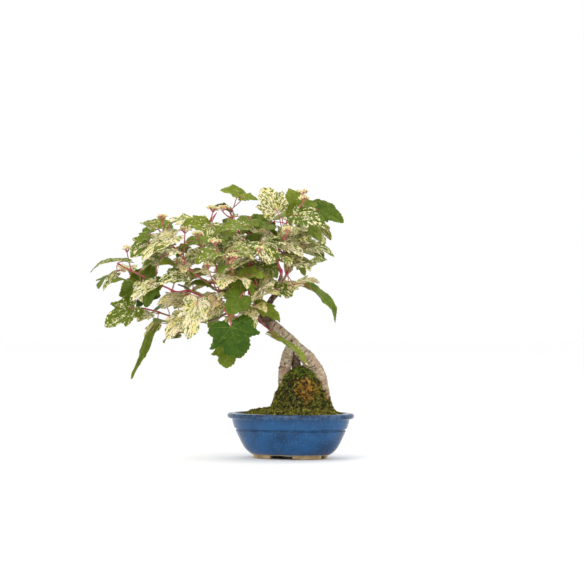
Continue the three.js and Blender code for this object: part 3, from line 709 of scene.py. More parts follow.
def belly_inset(height):
    """How far the wall is drawn in under the groove: 10 + 14.5 d + 6.5 d^6, d being 0 there and 1 at the base."""
    down = (BELLY_HIGH - height) / (BELLY_HIGH - FOOT_HEIGHT)
    return 10 + 14.5 * down + 6.5 * down**6


def oval(inset, angle):
    """A place on the turned oval that is drawn in from the rim's edge, in millimetres."""
    x = (POT_LENGTH / 2 - inset) * np.cos(angle)
    y = (POT_WIDTH / 2 - inset) * np.sin(angle)
    cosine, sine = math.cos(math.radians(POT_TURN)), math.sin(math.radians(POT_TURN))
    return np.stack([x * cosine - y * sine, x * sine + y * cosine], axis=-1)


def pot_surface():
    """The pot: an oval profile, [inset, height], swept round a turned ellipse, with a hand-made unevenness.

    The unevenness is smooth noise that draws the wall in by up to about 0.35 mm, and fades out at the base.
    """
    belly = [(belly_inset(z), z) for z in np.linspace(FOOT_HEIGHT, 34.0, BELLY_ROWS)]
    profile = smooth_route(np.array(BASE_PROFILE + belly + RIM_PROFILE + INNER_PROFILE), POT_ROWS)
    angle = turns(POT_COLUMNS)
    inset = np.minimum(profile[:, 0], POT_WIDTH / 2 - 4)[:, None] + np.zeros(POT_COLUMNS)
    height = profile[:, 1][:, None] + np.zeros(POT_COLUMNS)
    flat = np.stack([np.cos(angle) * 60, np.sin(angle) * 60], axis=-1)
    uneven = ripple(np.concatenate([flat[None] + 0 * height[..., None], height[..., None]], axis=2), 55, 3)
    shift = np.abs(0.35 * uneven)
    level = np.clip((height - 6) / 4, 0, 1)
    inset = inset + shift * level
    rings = np.concatenate([oval(inset, angle[None]), (height - shift * 0.3 * level)[..., None]], axis=2)
    points, faces = capped(rings)
    # The two cap centres, under the base and on the floor inside, take an inset and a height of their own.
    around = np.append(inset.ravel(), [60, 25])
    tall = np.append(height.ravel(), [6, 20])
    outside = around < OUTER_INSET
    lip_and_groove_shade = np.clip((tall - LIP_HEIGHT) / 1.2, 0, 1) * np.clip((12 - around) / 2, 0, 0.9)
    # The groove under the band takes the rim's dark glaze as painted shade.
    lip_and_groove_shade = np.maximum(lip_and_groove_shade, 0.6 * np.exp(-(((tall - GROOVE_HEIGHT) / 0.9) ** 2)) * outside)
    band = np.clip((tall - BAND_HEIGHT) / 0.8, 0, 1) * outside
    return points, faces, {"edge": lip_and_groove_shade, "band": band}


def foot_surface(middle):
    """One bracket foot: a rounded block that follows an arc of the oval, thinner at its two ends.

    Its section is a superellipse, |x|^3.2 + |z|^3.2 = 1.
    """
    rows, columns = 49, 40
    share = np.linspace(-1, 1, rows)
    angle = np.radians(middle + FOOT_ARC * share)
    round_section = np.cos(turns(columns)), np.sin(turns(columns))
    edge = belly_inset(FOOT_HEIGHT) + FOOT_SET_IN + FOOT_REACH / 2
    taper = (1 - np.abs(share) ** 6)[:, None]
    corner, upright = (np.sign(way) * np.abs(way) ** (2 / FOOT_POWER) for way in round_section)
    inset = edge + corner[None] * FOOT_REACH / 2 * (0.55 + 0.45 * taper)
    height = np.maximum(FOOT_HALF_HIGH + upright[None] * FOOT_HALF_HIGH * (0.8 + 0.2 * taper), 0.0)
    place = oval(inset, angle[:, None] + 0 * inset)
    return capped(np.concatenate([place, height[..., None]], axis=2)[:, ::-1])


def build_pot():
    """The glazed body with its bare base, the four feet, and the mesh over the drain holes."""
    points, faces, values = pot_surface()
    bare = (points[faces[:, 0], 2] < CLAY_HIGH).astype(int)
    finishes = [finish("glaze"), finish("clay")]
    body = new_piece("pot_glazed_body", points * MM + MIDDLE, faces, finishes, values, finish_of=bare)
    settle(body, "pot_glaze", "pot")
    points, faces = joined([foot_surface(angle) for angle in FEET_AT])
    settle(new_piece("pot_feet", points * MM + MIDDLE, faces, [finish("clay")]), "pot_glaze")
    for node in ("drain_screen_left", "drain_screen_right"):
        dress(node, "screen")


def dress(node, name):
    """A carried-over node of the frame gets its detailed material; its mesh isn't touched."""
    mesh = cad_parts[node].data
    mesh.materials.clear()
    mesh.materials.append(finish(name))


# ---- Soil and moss -----------------------------------------------------------------------------------


def carpet_height(x, y, share):
    """The moss's smooth top over the soil: a carpet, and a steep mound, exp(-r^power) (1 - taper r)."""
    away = np.hypot((x - MOUND_CENTRE[0]) / MOUND_HALF_LENGTH, (y - MOUND_CENTRE[1]) / MOUND_HALF_WIDTH)
    carpet = MOSS_THICK + (MOSS_EDGE - MOSS_THICK) * share**3
    return 0.3 + carpet + MOUND_HEIGHT * np.exp(-(away**MOUND_POWER)) * np.maximum(0, 1 - MOUND_TAPER * away)


# The moss bed's rings and points per ring, and its cushions; the same for the golden cushion and its domes.
MOSS_ROWS, MOSS_COLUMNS, MOSS_CUSHIONS = 150, 320, 900
CUSHION_ROWS, CUSHION_COLUMNS, CUSHION_DOMES, CUSHION_SPRIGS = 90, 160, 170, 2400
GRIT_COUNT = 900
# A sprig's leaflets as [turn round the stem, lean off it], the upright one first, and their sizes.
LEAFLETS = [(0.0, 0.0), (0.4, 0.75), (1.9, 0.9), (3.3, 0.7), (4.8, 0.85)]
LEAFLET_HIGH, LEAFLET_LONG, LEAFLET_THICK, LEAFLET_SUNK = 1.15, 0.95, 0.21, 0.25
# Moss may grow this far into the wood, and counts as the mound's above this height.
INTO_WOOD, MOUND_FROM = -0.6, 17


def moss_grid():
    """Rings from the mound's middle to the carpet's edge, raised by cushions of moss and cut by gaps."""
    angle = turns(MOSS_COLUMNS)
    share = (np.arange(1, MOSS_ROWS + 1) / MOSS_ROWS)[:, None]
    wave = 1.2 * np.sin(5 * angle + 1) + 0.9 * np.sin(11 * angle + 2) + 0.6 * np.sin(23 * angle)
    edge = oval(MOSS_INSET - 1.2 + wave * 0.8, angle)
    x, y = (MOUND_CENTRE[k] + share * (edge[None, :, k] - MOUND_CENTRE[k]) for k in (0, 1))
    z = carpet_height(x, y, share)
    grid = np.stack([x, y, z], axis=2)
    places = grid.reshape(-1, 3)
    random = np.random.default_rng(11)
    centres = places[random.choice(len(places), MOSS_CUSHIONS, replace=False)]
    bulge = domes(places, centres, 5.2) * 1.6 + ripple(places, 16, 12) * 0.9 + ripple(places, 3.0, 13) * 0.22
    bulge = (bulge.reshape(z.shape) - 0.9) * np.clip((1 - share) / 0.05 + 0.25, 0, 1)
    step_x, step_y, step_z = np.moveaxis(np.gradient(grid, axis=0), 2, 0)
    steep = step_z / np.maximum(np.hypot(step_x, step_y), 1e-6)
    outward = unit(grid[..., :2] - MOUND_CENTRE) * np.clip(-steep, 0, 4)[..., None]
    normal = unit(np.concatenate([outward, np.ones_like(z)[..., None]], axis=2))
    return grid + normal * bulge[..., None], normal, bulge


def clear_of_wood(places):
    """Which places are outside both legs of the trunk."""
    clear = np.ones(len(places), bool)
    for route, radii in ((MAIN_ROUTE, MAIN_RADII), (LEG_ROUTE, LEG_RADII)):
        line, wide = smooth_route(route, 60), drawn_out(radii, 60)
        gap = np.linalg.norm(places[:, None] - line[None], axis=2) - wide[None]
        clear &= gap.min(axis=1) > INTO_WOOD
    return clear


def sprig():
    """A tuft of pointed leaflets round a stem, each a closed three-sided spike."""
    points, faces = [], []
    foot = np.array([0, 0, -LEAFLET_SUNK])
    for index, (turn, lean) in enumerate(LEAFLETS):
        way = unit([math.cos(turn) * lean, math.sin(turn) * lean, 1.0])
        side = np.array([-math.sin(turn), math.cos(turn), 0.0])
        third = np.cross(way, side)
        points += [foot + LEAFLET_THICK * (math.cos(a) * side + math.sin(a) * third) for a in turns(3)]
        points.append(way * (LEAFLET_LONG if index else LEAFLET_HIGH))
        start = 4 * index
        faces += [(start, start + 1, start + 3, -1), (start + 1, start + 2, start + 3, -1),
                  (start + 2, start, start + 3, -1), (start, start + 2, start + 1, -1)]
    return np.array(points), np.array(faces)


def tufts(name, places, normals, size, seed, look, slot):
    """Sprigs of moss that stand on the places, each leaning off the surface by its own small angle."""
    random = np.random.default_rng(seed)
    ahead = unit(normals + random.normal(size=places.shape) * 0.28)
    up = random.normal(size=places.shape)
    sizes = size * random.uniform(0.65, 1.35, len(places))
    points, faces = sprig()
    made, indices = scatter(points, faces, places, ahead, up, sizes)
    # tip is 1 at each leaflet's point and 0 at its foot, where the finish paints shade.
    tip = np.tile((np.arange(len(points)) % 4 == 3).astype(float), len(places))
    values = {"tip": tip, "gold": golden(made)}
    settle(new_piece(name, over_soil(made), indices, [finish(look)], values, smooth=False), slot)


def build_moss():
    """The moss bed, closed by a skirt that ends just under the soil's top, and the sprigs that stand on it.

    Sprigs are spread evenly over the bed, three times as dense on the mound, and none in wood or cushion.
    """
    grid, normal, bulge = moss_grid()
    skirt = grid[-1:].copy()
    skirt[..., 2] = -0.6
    points, faces = capped(np.concatenate([grid, skirt])[:, ::-1])
    # The bed's tip value is low in the hollows between the cushions, where the finish paints shade.
    depth = np.clip(np.concatenate([bulge, bulge[-1:]])[:, ::-1].ravel() / 1.6 * 0.4 + 0.25, 0, 1)
    values = {"tip": np.append(depth, [0.3, 0.3]), "gold": golden(points)}
    settle(new_piece("moss_bed", over_soil(points), faces, [finish("moss")], values), "moss", "moss")

    random = np.random.default_rng(21)
    places, normals = grid.reshape(-1, 3), normal.reshape(-1, 3)
    share = np.repeat(np.arange(1, MOSS_ROWS + 1) / MOSS_ROWS, MOSS_COLUMNS)
    chance = share * (1 + 2.2 * (places[:, 2] > 15))
    chance[share > 0.985] = 0
    off_cushion = np.linalg.norm((places - CUSHION_CENTRE) / (CUSHION_SIZE * 0.97), axis=1) > 1
    chance *= clear_of_wood(places) * off_cushion
    count = forms().moss_sprigs
    picked = random.choice(len(places), count, replace=False, p=chance / chance.sum())
    spread = places[picked] + random.uniform(-0.35, 0.35, (count, 3)) * [1, 1, 0.2]
    high = spread[:, 2] > MOUND_FROM
    tufts("moss_sprigs_carpet", spread[~high], normals[picked][~high], 2.1, 22, "moss", "moss")
    tufts("moss_sprigs_mound", spread[high], normals[picked][high], 2.3, 23, "moss", "moss")


def build_cushion():
    """The golden cushion: an ellipsoid raised by small domes, and its own finer sprigs."""
    polar = np.linspace(0.02, math.pi - 0.02, CUSHION_ROWS)[::-1]
    way = ball(polar, CUSHION_COLUMNS)
    skin = (CUSHION_CENTRE + way * CUSHION_SIZE).reshape(-1, 3)
    normals = unit(way.reshape(-1, 3) / CUSHION_SIZE)
    random = np.random.default_rng(31)
    centres = skin[random.choice(len(skin), CUSHION_DOMES, replace=False)]
    bulge = domes(skin, centres, 3.6) * 1.2 + ripple(skin, 2.4, 32) * 0.2 - 0.7
    skin = skin + normals * bulge[:, None]
    points, faces = capped(skin.reshape(way.shape))
    # The cushion's tip value is low in its hollows, where the finish paints shade.
    values = {"tip": np.append(np.clip(bulge / 2.4 + 0.5, 0, 1), [0.3, 0.3]), "gold": golden(points)}
    piece = new_piece("moss_cushion", over_soil(points), faces, [finish("gold")], values)
    settle(piece, "gold_moss", "moss_cushion_gold")
    shown = np.flatnonzero((normals[:, 1] < 0.55) & clear_of_wood(skin))
    chance = np.repeat(np.sin(polar), CUSHION_COLUMNS)[shown]
    picked = random.choice(shown, CUSHION_SPRIGS, replace=False, p=chance / chance.sum())
    tufts("moss_cushion_sprigs", skin[picked], normals[picked], 1.9, 33, "gold", "gold_moss")


def build_soil():
    """The soil keeps its own solid; grains of grit lie on it between the moss and the wall."""
    dress("soil", "soil")
    random = np.random.default_rng(41)
    angle = random.uniform(0, TAU, GRIT_COUNT)
    places = oval(random.uniform(11.6, 17.5, GRIT_COUNT), angle)
    places = np.concatenate([places, random.uniform(-0.2, 0.5, GRIT_COUNT)[:, None]], axis=1)
    points, faces = capped(ball(np.linspace(0.6, math.pi - 0.6, 3)[::-1], 6) * [1, 0.8, 0.7])
    sizes = random.uniform(0.35, 0.95, GRIT_COUNT)
    ahead, up = random.normal(size=places.shape), random.normal(size=places.shape)
    made, indices = scatter(points, faces, places, ahead, up, sizes)
    settle(new_piece("soil_grit", over_soil(made), indices, [finish("soil")], smooth=False), "soil")


# ---- Trunk and twig ----------------------------------------------------------------------------------


def for_caps(grid):
    """A grid of values with its first and last rows twice more, for the rings that close the ends."""
    return np.concatenate([grid[:1], grid[:1], grid, grid[-1:], grid[-1:]])


def bark_tube(route, radii, rows, sides, seed, flutes=0.05, ring_gap=7.0, open_ends=(0.7, 0.7)):
    """A woody limb round a route.

    Its radius is the limb's own, times 1 + flutes along it, + slow swells, + raised rings, less cracks that
    run part of the way round, less small pits, + warts, less dished scars with raised rims. Each end closes
    over a dome that stands out by its radius times a share from open_ends. Gives points, faces, the depth of
    cracks, and the bark map.
    """
    random = np.random.default_rng(seed)
    line = smooth_route(route, rows)
    frames = route_frames(line)
    wide = drawn_out(radii, rows)
    angle = turns(sides)[None]
    length = length_of(line)
    along = np.linspace(0, length, rows)[:, None]
    plain = sweep(line, wide, sides, frames).reshape(-1, 3)

    def on_grid(values):
        """Values per point, laid out as rings."""
        return values.reshape(rows, sides)

    radius = wide[:, None] * (1 + flutes * np.sin(3 * angle + along / 17 + seed) + flutes * 0.7
                              * np.sin(5 * angle - along / 11 + 2 * seed))
    radius = radius + on_grid(ripple(plain, 22, seed + 1)) * 0.55
    radius = radius + on_grid(ripple(plain, 6.5, seed + 2)) * 0.22
    crack = np.zeros((rows, sides))
    place, wobble = ring_gap * 0.4, on_grid(ripple(plain, 12, seed + 3))
    while place < length:
        gap = along - place - wobble * 1.1 - random.uniform(-1, 1) * np.sin(angle + random.uniform(0, TAU))
        shown = np.clip(np.sin(angle * random.integers(1, 3) + random.uniform(0, TAU)) * 1.6 + 0.75, 0, 1)
        radius = radius + np.exp(-(((gap - 1.1) / 1.4) ** 2)) * 0.5 * shown
        crack = np.maximum(crack, np.exp(-((gap / random.uniform(0.25, 0.55)) ** 2)) * shown)
        place += ring_gap * random.uniform(0.4, 1.6)
    centres = plain[random.choice(len(plain), int(length * 1.3), replace=False)]
    pits = on_grid(domes(plain, centres, 0.7))
    scars = centres[: max(1, int(length / 9))]
    rim, scar = (on_grid(domes(plain, scars, reach)) for reach in (2.5, 1.5))
    warts = on_grid(domes(plain, centres[::3] + random.normal(size=centres[::3].shape) * 0.8, 1.3))
    radius = radius - crack * 0.6 - pits * 0.45 + warts * 0.35 + rim * 0.6 - scar * 1.5
    crack = np.maximum(crack, np.clip(scar * 1.6, 0, 1) * (wide.mean() > 4))
    radius = radius + on_grid(ripple(plain, 1.9, seed + 4)) * 0.08
    rings = sweep(line, radius, sides, frames)
    for end, sign, closing in ((0, -1, open_ends[0]), (-1, 1, open_ends[1])):
        bulge = line[end] + sign * frames[0][end] * wide[end] * closing
        cap = [rings[end] * (1 - s) + bulge * s for s in (0.35, 0.75)]
        rings = np.concatenate([rings, cap] if sign > 0 else [cap[::-1], rings])
    points, faces = capped(rings)
    # The finish paints the cracks and pits dark, partly as shade in them.
    depth = np.append(for_caps(np.clip(crack * 0.9 + pits * 0.8, 0, 1)), [0, 0])
    turned = np.append(for_caps(np.abs(angle - math.pi) * wide.mean() + 0 * along), [0, 0])
    tall = np.append(for_caps(along + 0 * angle), [0, length])
    return points, faces, depth, np.stack([turned, tall], axis=1) / 10


STUB_ROWS, STUB_SIDES = 32, 32


def stub(foot, ahead, radius, length, seed):
    """A pruned stub: a short tapering limb with a dished, weathered cut at its end."""
    ahead = unit(ahead)
    route = np.array(foot, float) + np.linspace(-0.5, 1, 6)[:, None] * ahead * length
    radii = [radius * 1.25, radius, radius * 0.9]
    points, faces, depth, chart = bark_tube(route, radii, STUB_ROWS, STUB_SIDES, seed, 0.08, 3, (0.5, -0.25))
    cut = np.clip(((points - route[-1]) @ ahead + 0.15 * radius) / 0.3, 0, 1)
    return points, faces, np.maximum(depth, cut * 0.55), chart


def joined_limbs(limbs, step):
    """Several limbs as one, with their bark maps a step apart so that no two have the same bark."""
    points, faces = joined([limb[:2] for limb in limbs])
    depth = np.concatenate([limb[2] for limb in limbs])
    chart = np.concatenate([limb[3] + [0, step * k] for k, limb in enumerate(limbs)])
    return points, faces, depth, chart


def bark_piece(name, node, points, faces, depth, crown, chart):
    """A woody piece: depth is 1 in cracks, painted dark partly as shade, and the brown value is 1 where the bark
    is dark brown.
    """
    piece = new_piece(name, over_soil(points), faces, [finish("bark")], {"crack": depth, "crown": crown},
                      {"Bark": chart})
    settle(piece, "bark", node)


def build_trunk():
    """The main leg with its leaning upper trunk, the second leg, the inner root, the knob and five stubs."""
    main_route, leg_route = [(-44, 0, 135.5)] + MAIN_ROUTE[1:], [(8, 0, 96)] + LEG_ROUTE
    knob_route = [(-29, 0, 125), (-34, 0, 128.5), (-40, 0.5, 132), (-44, 1, 135)]
    limbs = [
        bark_tube(main_route, [6.0] + MAIN_RADII[1:-2] + [10.2, 10.8], 470, 96, 51, 0.055, 12.0),
        bark_tube(leg_route, [5.0, 7.4] + LEG_RADII[1:-2] + [7.0, 7.6], 270, 80, 61, 0.06, 10.0),
        bark_tube(INNER_ROUTE, INNER_RADII, 140, 56, 66, 0.1, 6.0),
        bark_tube(knob_route, [7.2, 9.4, 8.9, 6.5], 90, 90, 71, 0.09, 3.5, (0.6, 0.6)),
        stub((-33, -1, 137), (0.3, -0.1, 1), 3.8, 6.5, 81),
        stub((-43, -3, 133), (-0.75, -0.45, 0.5), 3.6, 6.0, 82),
        stub((-22, -6, 122), (0.1, -1, 0.35), 2.6, 4.2, 83),
        stub((36.5, 8, 63), (0.3, 1, 0.4), 3.0, 4.5, 84),
        stub((-43, -1, 126), (-0.35, -0.1, -0.93), 2.4, 24.0, 85),
    ]
    points, faces, depth, chart = joined_limbs(limbs, 31.7)
    drift = ripple(points, 14, 55) * 7
    crown = np.clip((-17 + drift - points[:, 0]) / 12, 0, 1) * 0.92
    # The inner root, the third limb, stands in shade and damp: it is painted nearly as dark as the crown's end,
    # partly as painted shade.
    start, count = len(limbs[0][0]) + len(limbs[1][0]), len(limbs[2][0])
    crown[start:start + count] = np.maximum(crown[start:start + count], 0.75)
    bark_piece("trunk_bark", "trunk", points, faces, depth, crown, chart)


def build_twig():
    """The old twig on the right of the knob: dark at its foot and paler where it was cut back."""
    route = SHOOTS["twig_right"][-1][:3] + [(-12, 8, 179)]
    limbs = [
        bark_tube(route, [4.3, 3.7, 3.2, 2.9], 260, 64, 91, 0.07, 4.0, (0.5, 0.3)),
        stub((-15.5, 6, 164), (0.7, -0.4, 0.5), 1.9, 4.4, 92),
        stub((-24.5, 3, 148), (-0.8, -0.3, 0.4), 1.7, 3.6, 93),
    ]
    points, faces, depth, chart = joined_limbs(limbs, 17.3)
    crown = np.clip((163 + ripple(points, 9, 95) * 6 - points[:, 2]) / 12, 0.25, 0.95)
    bark_piece("twig_bark", "twig_right", points, faces, depth, crown, chart)


# ---- Shoots ------------------------------------------------------------------------------------------

# [first radius, last radius, how much of it is woody, how rosy it is, route from its foot to its tip]
SHOOTS = {
    "shoot_left_main": [2.3, 1.1, 0.1, 0.75, [
        (-38, 0, 130), (-60, -8, 125), (-78, -16, 132), (-87, -18, 149), (-89, -16, 169), (-92, -12, 190),
        (-105, -8, 206), (-115, -4, 222), (-108, 2, 236), (-100, 6, 249), (-93, 8, 259)]],
    "shoot_left_upper": [1.4, 0.9, 0.0, 0.35, [
        (-89, -16, 169), (-106, -30, 172), (-122, -42, 185), (-128, -46, 193), (-137, -48, 205),
        (-148, -44, 219), (-159, -38, 231)]],
    "shoot_left_far": [1.5, 0.9, 0.0, 0.8, [
        (-87, -18, 147), (-107, -22, 152), (-126, -20, 160), (-142, -18, 159), (-157, -18, 165),
        (-181, -20, 177), (-205, -22, 188), (-217, -22, 195)]],
    "shoot_left_low": [1.5, 1.0, 0.35, 0.6, [
        (-78, -16, 132), (-96, -8, 124), (-119, 0, 121), (-145, 6, 126), (-171, 4, 135), (-195, 0, 139)]],
    "shoot_center": [2.2, 1.1, 0.12, 0.7, [
        (-37, 4, 132), (-43, 10, 159), (-48, 14, 183), (-55, 16, 211), (-64, 14, 231), (-74, 10, 254),
        (-79, 8, 266)]],
    "shoot_right": [1.9, 1.0, 0.0, 0.85, [
        (-13, 8, 172), (-12, 8, 184), (-16, 3, 196), (-17, -4, 208), (-9, -8, 224), (-4, -4, 249),
        (6, 2, 258), (11, 6, 271)]],
    "shoot_back": [2.0, 1.1, 0.3, 0.5, [
        (-37, 5, 131), (-49, 30, 154), (-62, 52, 181), (-78, 68, 205), (-97, 78, 221)]],
    "shoot_back_right": [1.7, 1.0, 0.2, 0.5, [
        (-17, 8, 160), (-4, 34, 185), (8, 52, 214), (16, 60, 237), (17, 62, 250)]],
    "shoot_front": [2.1, 1.1, 0.15, 0.4, [
        (-40, -4, 128), (-54, -30, 141), (-62, -50, 161), (-72, -62, 185), (-84, -68, 203), (-96, -70, 212)]],
    "twig_right": [4.0, 2.6, 1.0, 0.0, [(-34, 0, 130), (-26, 4, 145), (-17, 8, 161), (-12, 8, 180)]],
    "trunk": [8.0, 8.0, 1.0, 0.0, [(-9, 0, 107), (-30, 0, 122), (-40, 0, 134)]],
}
# The limbs that are bark pieces of their own; shoots and leaves still start on their lines.
WOODY = ("twig_right", "trunk")
CURVE_ROWS = 200
CURVES = {}


def curve_of(name):
    """A shoot's own line, evenly stepped, worked out once."""
    if name not in CURVES:
        CURVES[name] = smooth_route(SHOOTS[name][-1], CURVE_ROWS)
    return CURVES[name]


def at_share(name, share):
    """The place and direction on a shoot at a share of its length."""
    line = curve_of(name)
    row = int(round(share * (CURVE_ROWS - 1)))
    return line[row], unit(np.gradient(line, axis=0)[row])


def joints_of(name):
    """Shares of a shoot's length where leaves and buds stand, and where its joints swell."""
    held = [row[1] for table in (LEAVES, BUD_CLUSTERS) for row in table.values() if row[0] == name]
    even = np.linspace(0.12, 0.92, 4 + len(SHOOTS[name][-1]) // 3)
    return np.array(held + [share for share in even if all(abs(share - other) > 0.07 for other in held)])


STEM_SIDES = 20


def build_shoots():
    """Each shoot: a stem that swells at its joints, wanders a little, and ends in a growing tip."""
    for name, (first, last, woody, rosy, _) in SHOOTS.items():
        if name in WOODY:
            continue
        seed = sum(map(ord, name))
        line, share = curve_of(name), np.linspace(0, 1, CURVE_ROWS)
        near = np.exp(-((share[:, None] - joints_of(name)[None]) * length_of(line) / 2.3) ** 2).max(axis=1)
        line = line + np.stack([ripple(line, 26, seed + k) for k in range(3)], axis=1) * 0.5
        wide = first + (last - first) * share
        wide = wide * (1 + 0.42 * near) * (1 - 0.65 * np.clip((share - 0.97) / 0.03, 0, 1))
        radius = wide[:, None] * (1 + 0.04 * np.sin(4 * turns(STEM_SIDES) + seed)[None])
        rings = sweep(line, radius, STEM_SIDES)
        radius = radius + ripple(rings.reshape(-1, 3), 3.2, seed + 5).reshape(radius.shape) * 0.07
        points, faces = capped(sweep(line, radius, STEM_SIDES))
        drift = ripple(line, 30, seed + 6) * 0.25
        tones = {
            "joint": np.clip(near * 1.15 - 0.1, 0, 1) * (0.35 + 0.65 * rosy),
            "wood": np.clip((woody + drift * woody - share) / 0.12 + 0.5, 0, 1) * (woody > 0),
            "rose": np.clip(rosy + drift + 0.25 * near, 0, 1),
        }
        values = {key: per_point(tone, STEM_SIDES) for key, tone in tones.items()}
        piece = new_piece(name + "_stem", over_soil(points), faces, [finish("stem")], values)
        settle(piece, "green_stem", name)


# Bare stalks whose leaves have gone: [first radius, last radius, share where the dead end starts, route].
STALKS = [
    [1.3, 1.0, 0.72, [(-85, -18, 141), (-92, -21, 145), (-114, -24, 157), (-140, -26, 168)]],
    [1.2, 0.9, 1.2, [(-89, -17, 160), (-97, -26, 163), (-110, -32, 174), (-125, -34, 186)]],
    [1.4, 1.0, 1.2, [(-35, -3, 132), (-36, -10, 150), (-31, -14, 177), (-28, -16, 202)]],
    [1.1, 0.9, 0.85, [(-52, -26, 140), (-44, -40, 156), (-34, -44, 170), (-27, -46, 186)]],
]


STALK_ROWS, STALK_SIDES = 60, 14


def build_stalks():
    """Bare stalks between the shoots: thin tubes that swell at their foot, olive, with a dead brown end."""
    shapes, tones = [], {"joint": [], "wood": [], "rose": []}
    share = np.linspace(0, 1, STALK_ROWS)
    for index, (first, last, dead, route) in enumerate(STALKS):
        line = smooth_route(route, STALK_ROWS)
        line = line + np.stack([ripple(line, 18, 640 + 3 * index + k) for k in range(3)], axis=1) * 0.4
        radius = first + (last - first) * share + 0.5 * np.exp(-((share / 0.05) ** 2))
        shapes.append(capped(sweep(line, radius * (1 + 0.05 * ripple(line, 4, 650 + index)), STALK_SIDES)))
        tones["joint"].append(per_point(0.4 * np.exp(-((share / 0.08) ** 2)), STALK_SIDES))
        tones["wood"].append(per_point(np.clip((share - dead) / 0.06, 0, 1), STALK_SIDES))
        tones["rose"].append(per_point(0.15 + 0 * share, STALK_SIDES))
    points, faces = joined(shapes)
    values = {key: np.concatenate(parts) for key, parts in tones.items()}
    settle(new_piece("bare_stalks", over_soil(points), faces, [finish("stem")], values), "green_stem")


# ---- Leaves ------------------------------------------------------------------------------------------

